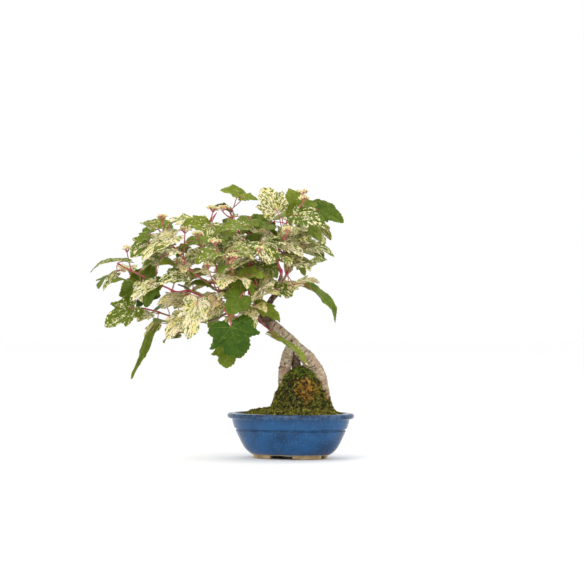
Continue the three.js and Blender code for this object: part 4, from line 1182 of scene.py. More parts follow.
# [shoot, share of its length where the stalk starts, base and tip of the blade, way it faces, width, fold
# along the midrib, arch from base to tip, depth of the lobes, share of cream, yellow in the green, blush]
LEAVES = {
    "leaf_front_big": ["shoot_front", 0.18, (-72, -86, 115), (-61, -84, 77),
        (0.05, -0.97, 0.22), 70, 0.05, 0.05, 0.7, 0.0, 0.05, 0.0],
    "leaf_front_under": ["shoot_left_main", 0.12, (-77, -60, 89), (-79, -66, 65),
        (0, -0.95, 0.3), 42, 0.1, 0.08, 0.65, 0.1, 0.5, 0.0],
    "leaf_trunk_narrow": ["shoot_front", 0.08, (-17, -30, 102), (25, -30, 67),
        (0.55, -0.25, 0.78), 30, 0.15, 0.06, 0.7, 0.3, 0.9, 0.0],
    "leaf_right_hanging": ["twig_right", 0.8, (26, -16, 162), (59, -20, 122),
        (0.7, -0.45, 0.55), 34, 0.3, 0.1, 0.35, 0.0, 0.45, 0.0],
    "leaf_right_variegated": ["shoot_right", 0.3, (24, -20, 215), (55, -24, 203),
        (0.25, -0.45, 0.85), 34, 0.15, 0.12, 0.5, 0.55, 0.5, 0.1],
    "leaf_right_dark": ["shoot_right", 0.85, (34, 18, 263), (68, 18, 248),
        (0.15, -0.85, 0.5), 36, 0.15, 0.1, 0.3, 0.0, 0.3, 0.0],
    "leaf_top_right": ["shoot_right", 0.8, (8, -4, 259), (-2, -2, 290),
        (0.2, -0.85, 0.45), 40, 0.1, 0.06, 0.7, 0.25, 0.7, 0.0],
    "leaf_right_striped": ["shoot_right", 0.6, (9, -30, 254), (45, -34, 241),
        (0, -0.85, 0.5), 36, 0.12, 0.08, 0.6, 0.5, 0.35, 0.1],
    "leaf_top_cream": ["shoot_right", 0.65, (-19, -18, 262), (-36, -16, 289),
        (-0.1, -0.8, 0.55), 46, 0.1, 0.08, 0.6, 0.62, 0.6, 0.25],
    "leaf_top": ["shoot_center", 0.98, (-61, 2, 281), (-88, -6, 287),
        (0.1, -0.75, 0.65), 26, 0.1, 0.1, 0.4, 0.25, 0.85, 0.0],
    "leaf_top_left": ["shoot_left_main", 0.95, (-105, -22, 241), (-137, -30, 241),
        (-0.05, -0.75, 0.65), 32, 0.15, 0.12, 0.6, 0.35, 0.8, 0.0],
    "leaf_left_top": ["shoot_left_upper", 0.95, (-152, -30, 239), (-178, -32, 243),
        (-0.1, -0.6, 0.8), 28, 0.15, 0.15, 0.5, 0.25, 0.8, 0.0],
    "leaf_left_curl": ["shoot_left_upper", 0.98, (-172, -18, 237), (-187, -16, 220),
        (-0.65, -0.5, 0.55), 24, 0.2, 0.15, 0.6, 0.1, 0.4, 0.0],
    "leaf_left_cream": ["shoot_left_upper", 0.85, (-146, -62, 226), (-183, -66, 198),
        (-0.3, -0.65, 0.7), 40, 0.1, 0.08, 0.75, 0.8, 0.6, 0.2],
    "leaf_far_left": ["shoot_left_far", 0.98, (-206, -32, 197), (-250, -34, 185),
        (0.05, -0.3, 0.95), 24, 0.25, 0.1, 0.3, 0.45, 0.5, 0.3],
    "leaf_left_dark": ["shoot_left_far", 0.7, (-176, 2, 175), (-218, 6, 155),
        (0.1, -0.92, 0.35), 50, 0.08, 0.05, 0.65, 0.0, 0.42, 0.0],
    "leaf_left_mid": ["shoot_left_upper", 0.35, (-131, -56, 178), (-164, -62, 169),
        (0, -0.75, 0.65), 28, 0.15, 0.08, 0.6, 0.55, 0.3, 0.0],
    "leaf_left_white": ["shoot_left_far", 0.62, (-172, -40, 168), (-199, -44, 147),
        (0.35, -0.65, 0.7), 20, 0.15, 0.08, 0.6, 0.75, 0.1, 0.1],
    "leaf_low_left": ["shoot_left_low", 0.98, (-199, -12, 139), (-233, -16, 116),
        (0.05, -0.88, 0.45), 44, 0.1, 0.06, 0.7, 0.42, 0.5, 0.1],
    "leaf_hanging": ["shoot_left_low", 0.55, (-173, -2, 112), (-197, -6, 48),
        (0.85, -0.4, 0.35), 18, 0.3, -0.05, 0.2, 0.15, 0.6, 0.0],
    "leaf_white_a": ["shoot_left_low", 0.6, (-135, -28, 126), (-155, -34, 101),
        (0, -0.9, 0.4), 34, 0.1, 0.06, 0.7, 0.9, 0.5, 0.3],
    "leaf_white_b": ["shoot_left_far", 0.3, (-115, -58, 143), (-126, -62, 100),
        (0.05, -0.92, 0.35), 42, 0.08, 0.05, 0.8, 0.85, 0.5, 0.2],
    "leaf_white_c": ["shoot_left_main", 0.22, (-92, -44, 145), (-108, -46, 122),
        (0.1, -0.85, 0.5), 32, 0.1, 0.06, 0.75, 0.8, 0.5, 0.3],
    "leaf_white_d": ["shoot_left_far", 0.45, (-131, -8, 149), (-164, -6, 140),
        (0, -0.7, 0.7), 34, 0.12, 0.1, 0.7, 0.75, 0.5, 0.2],
    "leaf_center_bright": ["shoot_front", 0.35, (-61, -84, 152), (-76, -92, 131),
        (0.1, -0.85, 0.5), 40, 0.1, 0.06, 0.5, 0.0, 0.35, 0.0],
    "leaf_center_long": ["shoot_center", 0.7, (-55, -42, 199), (-94, -50, 172),
        (-0.35, -0.6, 0.72), 26, 0.2, 0.08, 0.5, 0.7, 0.5, 0.2],
    "leaf_center_back": ["shoot_center", 0.75, (-36, 30, 229), (-47, 36, 260),
        (0, -0.6, 0.8), 50, 0.08, 0.08, 0.6, 0.15, 0.3, 0.0],
    "leaf_center_spread": ["shoot_right", 0.4, (-35, -40, 219), (-23, -52, 193),
        (0, -0.6, 0.8), 56, 0.1, 0.1, 0.8, 0.55, 0.4, 0.2],
    "leaf_mid_left_a": ["shoot_center", 0.85, (-59, -34, 240), (-96, -40, 231),
        (0, -0.55, 0.83), 34, 0.12, 0.1, 0.6, 0.35, 0.7, 0.0],
    "leaf_mid_left_b": ["shoot_center", 0.65, (-61, -20, 222), (-81, -22, 201),
        (0, -0.75, 0.65), 36, 0.1, 0.08, 0.7, 0.6, 0.5, 0.2],
    "leaf_mid_left_c": ["shoot_front", 0.95, (-91, -84, 206), (-115, -92, 192),
        (-0.1, -0.6, 0.78), 34, 0.12, 0.1, 0.7, 0.4, 0.7, 0.0],
    "leaf_mid_right": ["shoot_right", 0.35, (-6, -28, 217), (16, -34, 202),
        (0.2, -0.6, 0.75), 32, 0.12, 0.1, 0.7, 0.75, 0.6, 0.2],
    "leaf_twig_small": ["twig_right", 0.6, (-18, -8, 163), (3, -10, 154),
        (0.2, -0.8, 0.6), 28, 0.12, 0.1, 0.6, 0.5, 0.45, 0.3],
    "leaf_back_low": ["shoot_back", 0.5, (-71, 76, 186), (-95, 90, 165),
        (-0.1, 0.7, 0.7), 38, 0.1, 0.08, 0.6, 0.2, 0.2, 0.0],
    "leaf_back_left": ["shoot_back", 0.98, (-108, 86, 224), (-139, 92, 224),
        (-0.1, 0.6, 0.8), 36, 0.1, 0.1, 0.7, 0.55, 0.4, 0.1],
    "leaf_back_top": ["shoot_back", 0.85, (-81, 78, 224), (-79, 86, 257),
        (0.05, 0.75, 0.65), 38, 0.1, 0.08, 0.6, 0.3, 0.7, 0.0],
    "leaf_back_mid": ["shoot_back", 0.3, (-37, 56, 169), (-24, 66, 196),
        (0.2, 0.8, 0.55), 38, 0.1, 0.08, 0.7, 0.75, 0.5, 0.2],
    "leaf_back_right": ["shoot_back_right", 0.6, (20, 72, 219), (44, 84, 204),
        (0.3, 0.65, 0.7), 34, 0.1, 0.1, 0.5, 0.1, 0.2, 0.0],
    "leaf_back_crown": ["shoot_back_right", 0.98, (12, 70, 261), (-3, 82, 280),
        (-0.1, 0.6, 0.8), 36, 0.1, 0.1, 0.6, 0.5, 0.5, 0.1],
}
# Half of a blade from the notch at its foot to its tip, [along, across], as a plain heart and fully lobed.
HEART = np.array([(0, 0), (-0.12, 0.07), (-0.2, 0.25), (-0.2, 0.52), (-0.05, 0.76), (0.18, 0.86),
                  (0.44, 0.8), (0.61, 0.66), (0.78, 0.45), (0.93, 0.2), (1, 0)])
LOBED = np.array([(0, 0), (-0.16, 0.06), (-0.26, 0.24), (-0.26, 0.57), (-0.04, 0.84), (0.15, 0.7),
                  (0.46, 0.94), (0.42, 0.5), (0.71, 0.47), (0.92, 0.2), (1, 0)])
# Where the midrib's rings of points centre, as a share of the blade's length.
BLADE_HEART = 0.18
LEAF_THICK = 0.34
# The length of blade for each tooth, the fewest teeth a side has, and how far a tooth stands out.
TOOTH_LENGTH, FEWEST_TEETH, TOOTH_HIGH, TOOTH_RISE = 1.9, 7, 0.045, 0.82
LEAF_STALK_ROWS, LEAF_STALK_SIDES = 46, 10


def blade_outline(lobes, teeth, count, random):
    """Both sides of a blade's edge, [along, across], with teeth that point to the tip.

    The left and right halves are their own mix of the heart and the lobed outline. A tooth rises in
    proportion to its share of the way and drops at once: a sawtooth of the length along the edge.
    """
    halves = []
    for _ in range(2):
        mix = np.clip(lobes + random.uniform(-0.15, 0.15), 0, 1.1)
        corners = HEART + (LOBED - HEART) * mix
        corners[1:-1] += random.normal(size=(len(corners) - 2, 2)) * 0.014
        edge = smooth_route(corners, count + 1)
        way = unit(np.gradient(edge, axis=0))
        share = np.linspace(0, 1, count + 1)
        saw = (share * teeth + random.uniform()) % 1.0
        size = TOOTH_HIGH * np.clip(share / 0.12, 0, 1) * np.clip((1 - share) / 0.1, 0, 1)
        notch = np.where(saw < TOOTH_RISE, saw / TOOTH_RISE, (1 - saw) / 0.18) * size
        edge = edge + np.stack([-way[:, 1], way[:, 0]], axis=1) * (notch - size / 2)[:, None]
        edge[0], edge[-1] = (0, 0), (1, 0)
        halves.append(edge)
    left, right = halves
    right = right * [1, -1]
    return np.concatenate([left[:-1], right[:0:-1]])


def blade_surface(base, tip, facing, width, fold, arch, lobes, steps, count, seed):
    """One blade with an upper and a lower skin, in millimetres, and its maps.

    Points run from the blade's heart to its edge and back underneath. The skin rises by the midrib's arch,
    4 a u (1 - u), by the fold, by a dip along each vein, by a wave along the edge, and by puckers.
    """
    random = np.random.default_rng(seed)
    length, half = np.linalg.norm(tip - base), width / 2
    ahead = unit(tip - base)
    out = unit(np.cross(facing, ahead))
    up = np.cross(ahead, out)
    edge = blade_outline(lobes, max(FEWEST_TEETH, int(length / TOOTH_LENGTH)), count, random)
    share = (np.arange(1, steps + 1) / steps) ** 0.85
    flat = np.array([BLADE_HEART, 0]) + share[:, None, None] * (edge[None] - [BLADE_HEART, 0])
    along, across = flat[..., 0], flat[..., 1]
    soft = np.sqrt(across**2 + 0.006) - 0.077
    rise = 4 * arch * length * along * (1 - along) + fold * half * soft
    turn = np.arctan2(across, along - BLADE_HEART)
    wave = np.sin(turn * random.integers(4, 7) + random.uniform(0, TAU)) * share[:, None] ** 2
    rise = rise + wave * length * 0.022 + across * random.uniform(-0.06, 0.06) * half
    rise = rise - np.clip(along - 0.55, 0, 1) ** 2 * length * 0.35 - np.clip(-along, 0, 1) * half * 0.1
    for slope in VEIN_SLOPES:
        sine, cosine = math.sin(math.radians(slope)), math.cos(math.radians(slope))
        gone = along * cosine + np.abs(across) * sine
        aside = np.abs(along * sine - np.abs(across) * cosine)
        rise = rise - np.exp(-((aside / 0.035) ** 2)) * np.clip(gone / 0.05, 0, 1) * length * 0.011
    spot = np.stack([along * length, across * half], axis=-1)
    rise = rise + ripple(spot, length * 0.17, seed + 1) * length * 0.007
    rise = rise + ripple(spot, length * 0.5, seed + 2) * length * 0.016
    place = base + along[..., None] * length * ahead + across[..., None] * half * out + rise[..., None] * up
    thick = LEAF_THICK / 2 * np.sqrt(np.clip(1 - share**10, 0, 1))[:, None, None] * up
    points, faces = capped(np.concatenate([place + thick, (place - thick)[::-1]]))
    shape = np.concatenate([flat, flat[::-1]]).reshape(-1, 2)
    shape = np.vstack([shape, [BLADE_HEART, 0], [BLADE_HEART, 0]])
    chart = shape * [length, half] / 10 + random.uniform(0, 90, 2)
    # Faces past the edge, and the second cap, belong to the lower skin.
    rounds = np.append(np.arange(2 * steps - 1), [0, 2 * steps])
    return points, faces, shape, chart, (np.repeat(rounds, len(edge)) >= steps).astype(int)


def leaf_surface(shoot, share, base, tip, facing, width, fold, arch, lobes, seed, steps=13, count=78):
    """A blade and its stalk, which leaves the shoot square to it and dips a little before the blade.

    Gives points, faces, the two maps, each face's finish, and the share of the stalk at each point, which is
    -1 on the blade. The blade has steps rings of points and twice count points round its edge.
    """
    base, tip = np.array(base, float), np.array(tip, float)
    points, faces, shape, chart, skin = blade_surface(
        base, tip, facing, width, fold, arch, lobes, steps, count, seed)
    start, along = at_share(shoot, share)
    ahead, reach = unit(tip - base), base - start
    sideways = unit(reach - along * (reach @ along))
    span = np.linalg.norm(reach)
    bend = base - ahead * span * 0.2
    route = [start, start + sideways * span * 0.25, bend + (start - bend) * 0.15, base, base + ahead * 2.4]
    where = np.linspace(0, 1, LEAF_STALK_ROWS)
    radius = 0.62 + 0.75 * np.exp(-((where / 0.05) ** 2)) + 0.2 * np.exp(-(((where - 0.93) / 0.05) ** 2))
    radius = radius * (1 - 0.6 * np.clip((where - 0.95) / 0.05, 0, 1))
    stalk_points, stalk_faces = capped(sweep(smooth_route(route, LEAF_STALK_ROWS), radius, LEAF_STALK_SIDES))
    no_map = np.zeros((len(stalk_points), 2))
    stalk = np.append(np.full(len(points), -1.0), per_point(where, LEAF_STALK_SIDES))
    return (*joined([(points, faces), (stalk_points, stalk_faces)]), np.vstack([shape, no_map]),
            np.vstack([chart, no_map]), np.append(skin, np.full(len(stalk_faces), 2)), stalk)


def leaf_piece(name, made, tones, rosy):
    """A mesh object from one or more leaf surfaces, with each leaf's own cream, lime and blush."""
    points, faces = joined([leaf[:2] for leaf in made])
    shape, chart, finish_of, stalk = (np.concatenate([leaf[k] for leaf in made]) for k in (2, 3, 4, 5))
    counts = [len(leaf[0]) for leaf in made]
    cream, lime, blush = np.repeat(tones, counts, axis=0).T
    values = {"cream": cream, "lime": lime, "blush": blush,
              "chance": np.repeat(np.arange(len(made)) * 7.3 + len(name), counts),
              "joint": np.clip(1 - stalk / 0.08, 0, 1) * (stalk >= 0) * 0.8,
              "rose": np.repeat(rosy, counts), "wood": np.zeros(len(points))}
    finishes = [finish("leaf"), finish("leaf_under"), finish("stem")]
    maps = {"Shape": shape, "Blade": chart}
    return new_piece(name, over_soil(points), faces, finishes, values, maps, finish_of)


def leaf_slot(cream, lime):
    """The record's slot that is nearest to a leaf's colours."""
    if cream > 0.65:
        return "leaf_cream"
    if cream > 0.4:
        return "leaf_mottled"
    return "leaf_lime" if lime > 0.5 else "leaf_green" if lime > 0.12 else "leaf_dark"


# Leaves that stand between those of the frame, as rows like theirs.
MORE_LEAVES = [
    ["shoot_right", 0.95, (27, 30, 271), (50, 34, 273),
     (0, -0.5, 0.8), 14, 0.2, 0.1, 0.3, 0.0, 0.3, 0.0],
    ["shoot_left_main", 0.8, (-76, 10, 262), (-96, 4, 268),
     (0, -0.6, 0.8), 18, 0.2, 0.1, 0.5, 0.1, 0.1, 0.0],
    ["shoot_left_far", 0.72, (-174, 12, 157), (-196, 12, 141),
     (0, -0.8, 0.5), 26, 0.1, 0.1, 0.5, 0.0, 0.0, 0.0],
    ["shoot_front", 0.3, (-52, -34, 184), (-58, -36, 157),
     (0.2, -0.9, 0.3), 22, 0.1, 0.1, 0.3, 0.0, 0.4, 0.0],
    ["shoot_front", 0.5, (-66, -66, 176), (-60, -70, 152),
     (0.3, -0.9, 0.3), 26, 0.1, 0.1, 0.4, 0.1, 0.6, 0.0],
    ["shoot_right", 0.4, (2, -22, 196), (26, -26, 186),
     (0.2, -0.6, 0.7), 26, 0.1, 0.1, 0.6, 0.65, 0.4, 0.3],
    ["shoot_left_main", 0.3, (-93, -52, 148), (-111, -54, 132),
     (0, -0.8, 0.6), 24, 0.1, 0.1, 0.6, 0.8, 0.3, 0.9],
    ["shoot_center", 0.45, (-34, -12, 196), (-16, -16, 176),
     (0.3, -0.7, 0.6), 32, 0.1, 0.1, 0.6, 0.4, 0.4, 0.1],
    ["shoot_center", 0.35, (-64, -14, 176), (-82, -18, 160),
     (0, -0.8, 0.6), 30, 0.1, 0.1, 0.6, 0.5, 0.5, 0.2],
    ["shoot_left_main", 0.6, (-112, -30, 204), (-134, -36, 196),
     (0, -0.7, 0.7), 32, 0.1, 0.1, 0.6, 0.6, 0.6, 0.2],
    ["shoot_left_main", 0.75, (-98, -26, 240), (-92, -38, 216),
     (0, -0.7, 0.7), 34, 0.1, 0.1, 0.6, 0.5, 0.6, 0.1],
    ["shoot_right", 0.7, (-26, -10, 246), (-46, -16, 240),
     (0, -0.7, 0.7), 34, 0.1, 0.1, 0.5, 0.15, 0.5, 0.0],
    ["shoot_center", 0.9, (-50, -8, 250), (-60, -24, 232),
     (0, -0.7, 0.7), 34, 0.1, 0.1, 0.5, 0.2, 0.6, 0.0],
    ["shoot_right", 0.85, (14, 26, 246), (36, 30, 236),
     (0.1, -0.7, 0.7), 34, 0.1, 0.1, 0.5, 0.45, 0.5, 0.0],
    ["shoot_left_far", 0.66, (-171, -30, 171), (-180, -30, 139),
     (0.1, -0.9, 0.3), 28, 0.1, 0.1, 0.5, 0.0, 0.3, 0.0],
    ["shoot_right", 0.97, (12, -12, 264), (34, -16, 268),
     (0.1, -0.8, 0.6), 26, 0.1, 0.1, 0.3, 0.0, 0.6, 0.0],
    ["shoot_center", 0.98, (-60, -8, 278), (-40, -12, 274),
     (0, -0.8, 0.6), 15, 0.1, 0.1, 0.5, 0.3, 0.8, 0.0],
    ["shoot_left_upper", 0.9, (-150, -20, 216), (-186, -28, 206),
     (0, -0.8, 0.6), 18, 0.2, 0.1, 0.5, 0.5, 0.4, 0.1],
    ["shoot_left_far", 0.98, (-218, -26, 180), (-234, -28, 160),
     (0, -0.8, 0.6), 12, 0.2, 0.1, 0.4, 0.6, 0.1, 0.1],
]


def build_leaves():
    """One piece for each leaf of the frame, and one for the leaves that stand between them."""
    for index, (name, row) in enumerate(LEAVES.items()):
        made = leaf_surface(*row[:9], 1000 + 10 * index)
        piece = leaf_piece(name + "_blade", [made], [row[9:]], [0.35 if index % 3 == 1 else 0.85])
        settle(piece, leaf_slot(row[9], row[10]), name)
    made = [leaf_surface(*row[:9], 3000 + 10 * k, steps=10, count=64) for k, row in enumerate(MORE_LEAVES)]
    piece = leaf_piece("leaves_between", made, [row[9:] for row in MORE_LEAVES], [0.7] * len(MORE_LEAVES))
    settle(piece, "leaf_mottled")


# ---- Buds --------------------------------------------------------------------------------------------

# [shoot, share, top of the stalk, number of rays]: the frame's own clusters, and smaller ones between them.
BUD_CLUSTERS = {
    "buds_far_left": ["shoot_left_far", 0.85, (-204, -20, 208), 7],
    "buds_top_left": ["shoot_left_main", 0.88, (-97, -16, 258), 9],
    "buds_top_right": ["shoot_right", 0.97, (14, 4, 280), 8],
    "buds_upper_left": ["shoot_left_upper", 0.6, (-130, -52, 230), 7],
}
MORE_BUDS = {
    "buds_small_left": ["shoot_left_upper", 0.97, (-158, -48, 245), 6],
    "buds_small_middle": ["shoot_center", 0.9, (-84, -24, 258), 6],
    "buds_small_front": ["shoot_front", 0.9, (-92, -86, 214), 6],
    "buds_small_centre": ["shoot_front", 0.75, (-70, -90, 196), 6],
    "buds_small_low": ["shoot_left_main", 0.35, (-101, -62, 186), 6],
    "buds_small_right": ["shoot_right", 0.72, (16, -34, 270), 6],
    "buds_front_left": ["shoot_left_main", 0.62, (-114, -66, 224), 5],
    "buds_front_far": ["shoot_left_far", 0.45, (-138, -54, 192), 5],
    "buds_front_middle": ["shoot_center", 0.5, (-38, -70, 206), 5],
    "buds_front_right": ["shoot_right", 0.45, (-4, -64, 230), 6],
    "buds_small_back": ["shoot_back_right", 0.8, (30, 50, 254), 6],
}


FORKS_PER_RAY = 4
BUD_STALK_TONES = {"rose": 0.75, "joint": 0.0, "wood": 0.0}


def twiglet(start, end, radius, seed):
    """A short curved ray from one place to another, as a closed tube."""
    random = np.random.default_rng(seed)
    middle = (start + end) / 2 + random.normal(size=3) * 0.05 * np.linalg.norm(end - start)
    line = smooth_route([start, middle, end], 8)
    return capped(sweep(line, np.linspace(radius, radius * 0.75, 8), 7))


def cyme(shoot, share, top, rays, seed):
    """A forked flower stalk: rays lean out from its top, and each forks into shorter rays with a bud each."""
    random = np.random.default_rng(seed)
    start, _ = at_share(shoot, share)
    top = np.array(top, float)
    line = smooth_route([start, (start + top) / 2 + [0, 0, -1.5], top], 30)
    stalks = [capped(sweep(line, np.linspace(0.95, 0.7, 30), 10))]
    ends, ways = [], []
    for ray in range(rays):
        angle = ray / rays * TAU + random.uniform(-0.25, 0.25)
        lean = random.uniform(0.5, 1.1)
        way = unit([math.cos(angle) * lean, math.sin(angle) * lean, 1.0])
        fork = top + way * random.uniform(4.0, 6.5)
        stalks.append(twiglet(top - way * 0.4, fork, 0.48, seed + ray))
        side = unit(np.cross(way, [0.3, 0.2, 1]))
        other = np.cross(way, side)
        for small in range(FORKS_PER_RAY):
            turn = small / FORKS_PER_RAY * TAU + random.uniform(0, 1)
            out = unit(way + 0.75 * (math.cos(turn) * side + math.sin(turn) * other))
            end = fork + out * random.uniform(1.8, 3.4)
            stalks.append(twiglet(fork - out * 0.2, end, 0.3, seed + 50 + 7 * ray + small))
            ends.append(end + out * 0.8)
            ways.append(out)
    points, faces = capped(ball([2.4, 1.65, 1.0, 0.35], 7) * [1, 1, 1.15])
    sizes = random.uniform(0.95, 1.5, len(ends))
    beads = scatter(points, faces, np.array(ends), np.array(ways), random.normal(size=(len(ends), 3)), sizes)
    return joined(stalks), beads


def build_buds():
    """One piece for each cluster: the forked stalk in the stems' finish and its beads in the buds'."""
    for index, (name, (shoot, share, top, rays)) in enumerate({**BUD_CLUSTERS, **MORE_BUDS}.items()):
        stalks, beads = cyme(shoot, share, top, rays, 300 + 20 * index)
        points, faces = joined([stalks, beads])
        finish_of = np.repeat([0, 1], [len(stalks[1]), len(beads[1])])
        values = {key: np.full(len(points), tone) for key, tone in BUD_STALK_TONES.items()}
        finishes = [finish("stem"), finish("bud")]
        piece = new_piece(name + "_cyme", over_soil(points), faces, finishes, values, finish_of=finish_of)
        settle(piece, "buds", *([name] if name in BUD_CLUSTERS else []))


# ---- Smaller leaves that fill the crown --------------------------------------------------------------

# How many more leaves each shoot carries, and the way the crown spreads there.
FILL = {
    "shoot_left_main": [18, (-0.1, -0.5, 0.7)],
    "shoot_left_upper": [12, (-0.3, -0.4, 0.6)],
    "shoot_left_far": [9, (-0.3, 0.1, 0.6)],
    "shoot_left_low": [8, (-0.2, 0.2, -0.1)],
    "shoot_center": [24, (0.0, 0.0, 0.7)],
    "shoot_right": [21, (0.3, 0.0, 0.5)],
    "shoot_back": [13, (-0.1, 0.5, 0.6)],
    "shoot_back_right": [12, (0.3, 0.5, 0.6)],
    "shoot_front": [18, (0.1, -0.4, 0.6)],
}
# The least air round a leaf, the tries for each, and how low and high in the crown they may stand.
AIR, TRIES = 3.2, 14
FILL_LOW, FILL_TOP, BOX_MARGIN = 95.0, 256.0, 4


def room_points(base, tip):
    """A few places that stand for a blade when the room round it is measured."""
    base, tip = np.array(base, float), np.array(tip, float)
    return base + (tip - base) * np.linspace(0, 1, 5)[:, None]


def fill_leaves():
    """Rows of small leaves, each placed where it has the most air of its tries, within the crown's box."""
    random = np.random.default_rng(500)
    taken = np.vstack([room_points(row[2], row[3]) for row in [*LEAVES.values(), *MORE_LEAVES]])
    low = (np.array(CAD_BOX[0]) - ON_SOIL) / MM + BOX_MARGIN
    high = (np.array(CAD_BOX[1]) - ON_SOIL) / MM - BOX_MARGIN
    high[2] = FILL_TOP
    rows = {shoot: [] for shoot in FILL}
    for shoot, (number, lean) in FILL.items():
        for _ in range(number):
            best, best_air = None, -1.0
            for _ in range(TRIES):
                share = random.uniform(0.25, 0.97)
                start, along = at_share(shoot, share)
                out = unit(np.array(lean) * 0.7 + random.normal(size=3) * 0.6)
                out = unit(out - along * (out @ along) * 0.7)
                base = start + out * random.uniform(12, 26)
                length = random.uniform(17, 34)
                fall = [0, 0, random.uniform(-0.8, 0.1)]
                droop = unit(out * [1, 1, 0.3] + fall + random.normal(size=3) * 0.25)
                tip = base + droop * length
                outside = (np.minimum(base, tip) < low).any() or (np.maximum(base, tip) > high).any()
                if outside or tip[2] < FILL_LOW:
                    continue
                gap = np.linalg.norm(room_points(base, tip)[:, None] - taken[None], axis=2).min()
                if gap > best_air:
                    best, best_air = (share, base, tip, length), gap
            if best_air < AIR:
                continue
            share, base, tip, length = best
            taken = np.vstack([taken, room_points(base, tip)])
            facing = unit([random.normal() * 0.25, 0.5 if "back" in shoot else -0.5, 0.8])
            cream = random.choice([0.0, 0.15, 0.5, 0.75, 0.9], p=[0.15, 0.2, 0.25, 0.25, 0.15])
            tone = [cream, random.uniform(0.35, 0.95), random.uniform(0, 0.6) * (cream > 0.4)]
            width, fold = length * random.uniform(0.85, 1.25), random.uniform(0.05, 0.25)
            arch, lobes = random.uniform(0.04, 0.12), random.uniform(0.4, 0.9)
            blade = [shoot, share, base, tip, facing, width, fold, arch, lobes]
            rows[shoot].append([blade, tone, random.uniform(0.2, 0.95)])
    return rows


def build_fill():
    """The small leaves of each shoot as one piece."""
    for number, (shoot, rows) in enumerate(fill_leaves().items()):
        blades, tones, rosy = zip(*rows)
        seed = 5000 + 100 * number
        made = [leaf_surface(*blade, seed + k, steps=7, count=44) for k, blade in enumerate(blades)]
        settle(leaf_piece("small_leaves_" + shoot, made, tones, rosy), "leaf_mottled")


# ---- Stage -------------------------------------------------------------------------------------------

FLOOR_HALF = 12.0
CAMERA_AWAY, CAMERA_HEIGHT = 2.4, 0.178
# Where the camera looks, to the right of the pot's middle and up from the floor.
AIM_RIGHT, AIM_UP = 0.0019, 0.2088
LENS = 117.6


def look_at(thing, aim):
    """Turn a light or a camera to face a place."""
    thing.rotation_euler = (Vector(aim) - thing.location).to_track_quat("-Z", "Y").to_euler()


def light(name, place, size, share):
    """A square soft light that faces the crown, with a share of the main light's power."""
    data = bpy.data.lights.new(name, "AREA")
    data.shape, data.size, data.energy = "SQUARE", size, looks().key_light * share
    lamp = bpy.data.objects.new(name, data)
    lamp.location = place
    look_at(lamp, (MIDDLE[0] - 0.06, MIDDLE[1], 0.2))
    bpy.context.scene.collection.objects.link(lamp)


def build_stage():
    """A wide pale floor, white surroundings, soft lights all round and above, and the camera."""
    corners = np.array([(-1, -1, 0), (1, -1, 0), (1, 1, 0), (-1, 1, 0)]) * FLOOR_HALF
    floor = new_piece("floor", corners, np.array([(0, 1, 2, 3)]), [finish("floor")], smooth=False)
    scene = bpy.context.scene
    scene.world = bpy.data.worlds.new("white_surroundings")
    scene.world.use_nodes = True
    background = scene.world.node_tree.nodes["Background"]
    background.inputs["Color"].default_value = (1, 1, 1, 1)
    background.inputs["Strength"].default_value = looks().surroundings
    light("key", (MIDDLE[0] - 0.7, -1.1, 1.5), 0.8, 1.0)
    light("side", (MIDDLE[0] + 1.3, -0.6, 0.9), 0.8, 0.35)
    light("front", (MIDDLE[0] - 0.3, MIDDLE[1] - 2.0, 0.12), 1.2, 0.55)
    light("top", (MIDDLE[0], 0.5, 1.8), 1.2, 0.6)
    data = bpy.data.cameras.new("camera")
    data.lens = LENS
    camera = bpy.data.objects.new("camera", data)
    camera.location = (MIDDLE[0], MIDDLE[1] - CAMERA_AWAY, CAMERA_HEIGHT)
    look_at(camera, (MIDDLE[0] + AIM_RIGHT, MIDDLE[1], AIM_UP))
    scene.collection.objects.link(camera)
    scene.camera = camera
    scene.view_settings.view_transform = "Standard"


# ---- The add-on --------------------------------------------------------------------------------------


class BonsaiLooks(bpy.types.PropertyGroup):
    """Colours and light."""

    glaze: FloatVectorProperty(
        name="Glaze", description="Deep colour of the glaze", subtype="COLOR", size=3, min=0, max=1,
        default=srgb("083359"))
    glaze_light: FloatVectorProperty(
        name="Glaze, thin", description="Colour of the glaze where it is thin", subtype="COLOR", size=3,
        min=0, max=1, default=srgb("175588"))
    surroundings: FloatProperty(
        name="Surroundings", description="Strength of the white surroundings", min=0, max=3, default=1.0)
    key_light: FloatProperty(
        name="Key light", description="Power of the main light", subtype="POWER", min=0, default=7.0)


class BonsaiForms(bpy.types.PropertyGroup):
    """Counts."""

    moss_sprigs: IntProperty(
        name="Moss sprigs", description="How many sprigs the moss carries", min=100, max=20000, default=14000)


class BONSAI_OT_pot(bpy.types.Operator):
    """Add the glazed pot and its bare feet"""

    bl_idname = "bonsai.pot"
    bl_label = "Pot"

    def execute(self, context):
        build_pot()
        return {"FINISHED"}


class BONSAI_OT_soil(bpy.types.Operator):
    """Dress the soil and lay grit on it"""

    bl_idname = "bonsai.soil"
    bl_label = "Soil"

    def execute(self, context):
        build_soil()
        return {"FINISHED"}


class BONSAI_OT_moss(bpy.types.Operator):
    """Add the moss carpet, its mound and their sprigs"""

    bl_idname = "bonsai.moss"
    bl_label = "Moss"

    def execute(self, context):
        build_moss()
        return {"FINISHED"}


class BONSAI_OT_cushion(bpy.types.Operator):
    """Add the golden moss cushion"""

    bl_idname = "bonsai.cushion"
    bl_label = "Golden Cushion"

    def execute(self, context):
        build_cushion()
        return {"FINISHED"}


class BONSAI_OT_trunk(bpy.types.Operator):
    """Add the trunk with its legs, knob and stubs"""

    bl_idname = "bonsai.trunk"
    bl_label = "Trunk"

    def execute(self, context):
        build_trunk()
        return {"FINISHED"}


